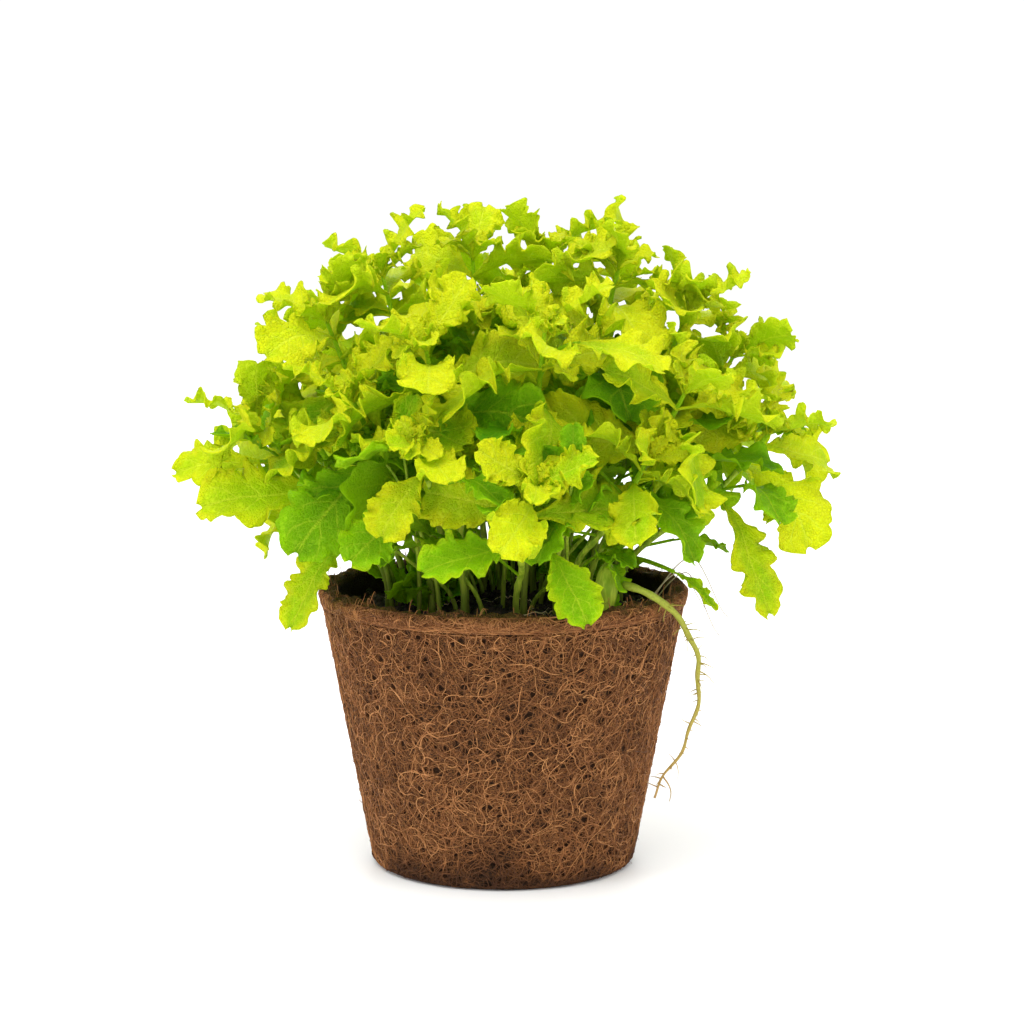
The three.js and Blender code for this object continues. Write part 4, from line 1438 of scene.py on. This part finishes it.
def soilRootPaths():
    # fine pale roots lying on the soil
    count = soil["roots"]
    chance = scatter(640, count * 6).reshape(count, 6)
    t = np.linspace(0, 1, soil["rootSteps"])[None]
    radius = np.sqrt(spread(0.05, 0.9, chance[:, 0:1])) * soilHigh.x
    start = chance[:, 1:2] * math.tau
    turns = np.cumsum(0.5 * np.sin(math.tau * (t * 2.3 + chance[:, 3:4])), axis=1)
    heading = chance[:, 2:3] * math.tau + turns * 0.35
    step = spread(0.0005, 0.0013, chance[:, 4:5])
    x = radius * np.cos(start) + np.cumsum(np.cos(heading) * step, axis=1)
    y = radius * np.sin(start) + np.cumsum(np.sin(heading) * step, axis=1)
    out = np.maximum(1, np.hypot(x, y) / (soilHigh.x * 0.96))
    x, y = x / out, y / out
    z = soilHeight(x, y) + 0.0003 + 0.0012 * np.sin(math.pi * t) * chance[:, 5:6]
    return np.stack([x, y, z], axis=-1), spread(*soil["rootWidth"], chance[:, 3:4]) * (1.05 - 0.7 * t)


rimRoots = {  # bearing from the right, rise over the rim, reach past it and drop outside it
    "places": ((-0.30, 0.011, 0.017, 0.018), (-0.42, 0.007, 0.012, 0.010), (-0.12, 0.004, 0.013, 0.020)),
    "width": (0.00028, 0.0001),
}


def rimRootPaths():
    # fine roots that arch over the rim on the right
    t = np.linspace(0, 1, soil["rootSteps"])
    near, up = soilHigh.x * 0.9, np.sin(math.pi * np.minimum(t * 0.9, 0.5))
    paths = []
    for bearing, rise, reach, drop in rimRoots["places"]:
        radius = near + (potRadius(potTop) - near + reach) * t
        turn = bearing + 0.12 * np.sin(t * 3)
        z = soilEdge + (potTop - soilEdge + rise) * up - drop * smooth(0.5, 1.0, t)
        paths.append(np.stack([radius * np.cos(turn), radius * np.sin(turn), z], axis=-1))
    return np.array(paths), np.tile(np.linspace(*rimRoots["width"], len(t)), (len(paths), 1))


growSoil()
growCrumbs()
rootPaths, rootWidths = (np.concatenate(pair) for pair in zip(soilRootPaths(), rimRootPaths()))
points, faces, places, _, _ = tubes(rootPaths, rootWidths, 4)
makePiece("soilRoots", [], points, faces, paleRootPaint, None, places)
print("soil made")


swell = {
    "around": 28,
    "rings": 36,
    "profileAt": (0, 0.12, 0.3, 0.5, 0.68, 0.82, 0.93, 1.0),
    "profile": (0.62, 0.50, 0.55, 0.86, 1.0, 0.82, 0.48, 0.12),
}


def growSwell():
    t = np.linspace(0, 1, swell["rings"])
    radius = np.interp(t, swell["profileAt"], swell["profile"]) * (swellHigh.x - swellLow.x) / 2
    height = swellLow.z - 0.001 + t * (swellHigh.z - swellLow.z + 0.001)
    points, faces, places = lathed(np.stack([radius, height], axis=1), swell["around"])
    around = np.arctan2(points[:, 1], points[:, 0])
    ridge = 1 + 0.05 * np.sin(around * 5 + points[:, 2] * 300) + 0.03 * np.sin(around * 9)
    points[:, :2] = points[:, :2] * ridge[:, None] + [swellPlace.x, swellPlace.y]
    values = {"share": np.full(len(points), 0.5)}
    makePiece("swollenBase", ["swollen_base"], points, faces, stemPaint, values, places)


root = {
    "steps": 90,
    "radii": (0.00135, 0.00035),
    "wiggle": 0.0005,
    "forkAt": 0.9,         # share of the way along where the branch leaves
    "branchRadii": (0.0003, 0.0001),
    "hairs": 64,
    "hairLength": (0.0012, 0.0062),
    "hairRadii": (0.00027, 0.00008),
}


def rootPart(paths, radii, sides, low, high):
    # tubes whose share of the root's length runs from low to high, one value or one for each tube
    points, faces, places, share, number = tubes(paths, radii, sides)
    low, high = np.broadcast_to(low, len(paths))[number], np.broadcast_to(high, len(paths))[number]
    return points, faces, places, {"share": low + (high - low) * share}


def rootHair(path, count):
    chance = scatter(800 + count, 6)
    place = spread(0.16, 0.97, chance[0])
    k = int(place * (root["steps"] - 2))
    along = unit(path[k + 1] - path[k])
    side = unit(np.cross(along, unit(chance[1:4] - 0.5)))
    length = spread(*root["hairLength"], chance[4] ** 1.8)
    h = np.linspace(0, 1, 7)[:, None]
    return path[k] + side * h * length + along * h ** 2 * length * spread(-0.2, 0.7, chance[5]), place


def growRoot():
    route = readRoute("trailing_root", np.array(swellPlace), plainBar["rootSides"])
    t = np.linspace(0, 1, root["steps"])
    chance = scatter(71, 6)
    sideways, forward = np.sin(math.tau * (5 * t + chance[0])), np.sin(math.tau * (4.3 * t + chance[1]))
    wiggle = np.stack([sideways, forward, 0 * t], axis=1) * root["wiggle"] * smooth(0.2, 0.5, t)[:, None]
    path = smoothRoute(route, root["steps"]) + wiggle
    radii = spread(*root["radii"], t ** 0.8) * (1 + 0.12 * np.sin(t * 61) * np.sin(t * 23))
    down = path[-1] - path[int(root["steps"] * 0.86)]
    turned = np.array([down[0] * 0.3 + 0.004, down[1], down[2]])
    u = np.linspace(0, 1, 14)[:, None]
    fork = path[int(root["steps"] * root["forkAt"])]
    branch = fork + turned * u * 0.8 + np.array([0.0015, 0, 0]) * np.sin(u * 3)
    hairs, hairPlaces = zip(*(rootHair(path, count) for count in range(root["hairs"])))
    hairRadii = np.tile(np.linspace(*root["hairRadii"], 7), (len(hairs), 1))
    hairShares = np.array(hairPlaces) * 0.6 + 0.4
    return joined([
        rootPart(path[None], radii[None], 9, 0.0, 1.0),
        rootPart(branch[None], np.linspace(*root["branchRadii"], 14)[None], 5, 0.95, 0.95),
        rootPart(np.array(hairs), hairRadii, 4, hairShares, hairShares),
    ])


growSwell()
points, faces, places, values = growRoot()
makePiece("trailingRoot", ["trailing_root"], points, faces, rootPaint, values, places)
print("swollen base and root made")


studio = {
    "floorReach": 12.0,
    "floor": (0.97, 0.97, 0.97, 1),
    "world": (1.0, 1.0, 1.0, 1),
    "worldStrength": 1.06,
    "lens": 124.5,
    "cameraPlace": (0.00285, -1.138, 0.294),
    "cameraDown": 8.9,     # degrees below the level
}
lamps = {
    "overhead": {"place": (-0.15, -0.35, 1.1), "target": (0, 0, 0.12), "width": 0.8, "power": 9.0},
    "left": {"place": (-1.0, -0.7, 0.55), "target": (0, 0, 0.12), "width": 0.6, "power": 3.5},
    "right": {"place": (1.0, -0.6, 0.5), "target": (0, 0, 0.12), "width": 0.6, "power": 3.0},
    "behind": {"place": (0.1, 1.1, 0.6), "target": (0, 0, 0.14), "width": 0.8, "power": 4.0},
}


def floorRecipe(start):
    return {"Base Color": studio["floor"], "Roughness": 0.6}


def addFloor():
    reach = studio["floorReach"]
    mesh = bpy.data.meshes.new("floor")
    corners = [(-reach, -reach, 0), (reach, -reach, 0), (reach, reach, 0), (-reach, reach, 0)]
    mesh.from_pydata(corners, [], [(0, 1, 2, 3)])
    mesh.materials.append(paint("floorPaint", floorRecipe))
    floor = bpy.data.objects.new("floor", mesh)
    bpy.context.scene.collection.objects.link(floor)


def addWorld():
    world = bpy.data.worlds.new("studio")
    world.use_nodes = True
    background = world.node_tree.nodes["Background"]
    background.inputs["Color"].default_value = studio["world"]
    background.inputs["Strength"].default_value = studio["worldStrength"]
    bpy.context.scene.world = world
    bpy.context.scene.view_settings.view_transform = "Standard"


def addLamp(name, lamp):
    data = bpy.data.lights.new(name, "AREA")
    data.size = lamp["width"]
    data.energy = lamp["power"]
    made = bpy.data.objects.new(name, data)
    made.location = lamp["place"]
    made.rotation_mode = "QUATERNION"
    made.rotation_quaternion = (Vector(lamp["target"]) - Vector(lamp["place"])).to_track_quat("-Z", "Y")
    bpy.context.scene.collection.objects.link(made)


def addCamera():
    data = bpy.data.cameras.new("camera")
    data.sensor_width = 36
    data.lens = studio["lens"]
    data.clip_start = 0.05
    camera = bpy.data.objects.new("camera", data)
    camera.location = studio["cameraPlace"]
    camera.rotation_euler = (math.radians(90 - studio["cameraDown"]), 0, 0)
    bpy.context.scene.collection.objects.link(camera)
    bpy.context.scene.camera = camera


addFloor()
addWorld()
for name, lamp in lamps.items():
    addLamp(name, lamp)
addCamera()
print("studio made")
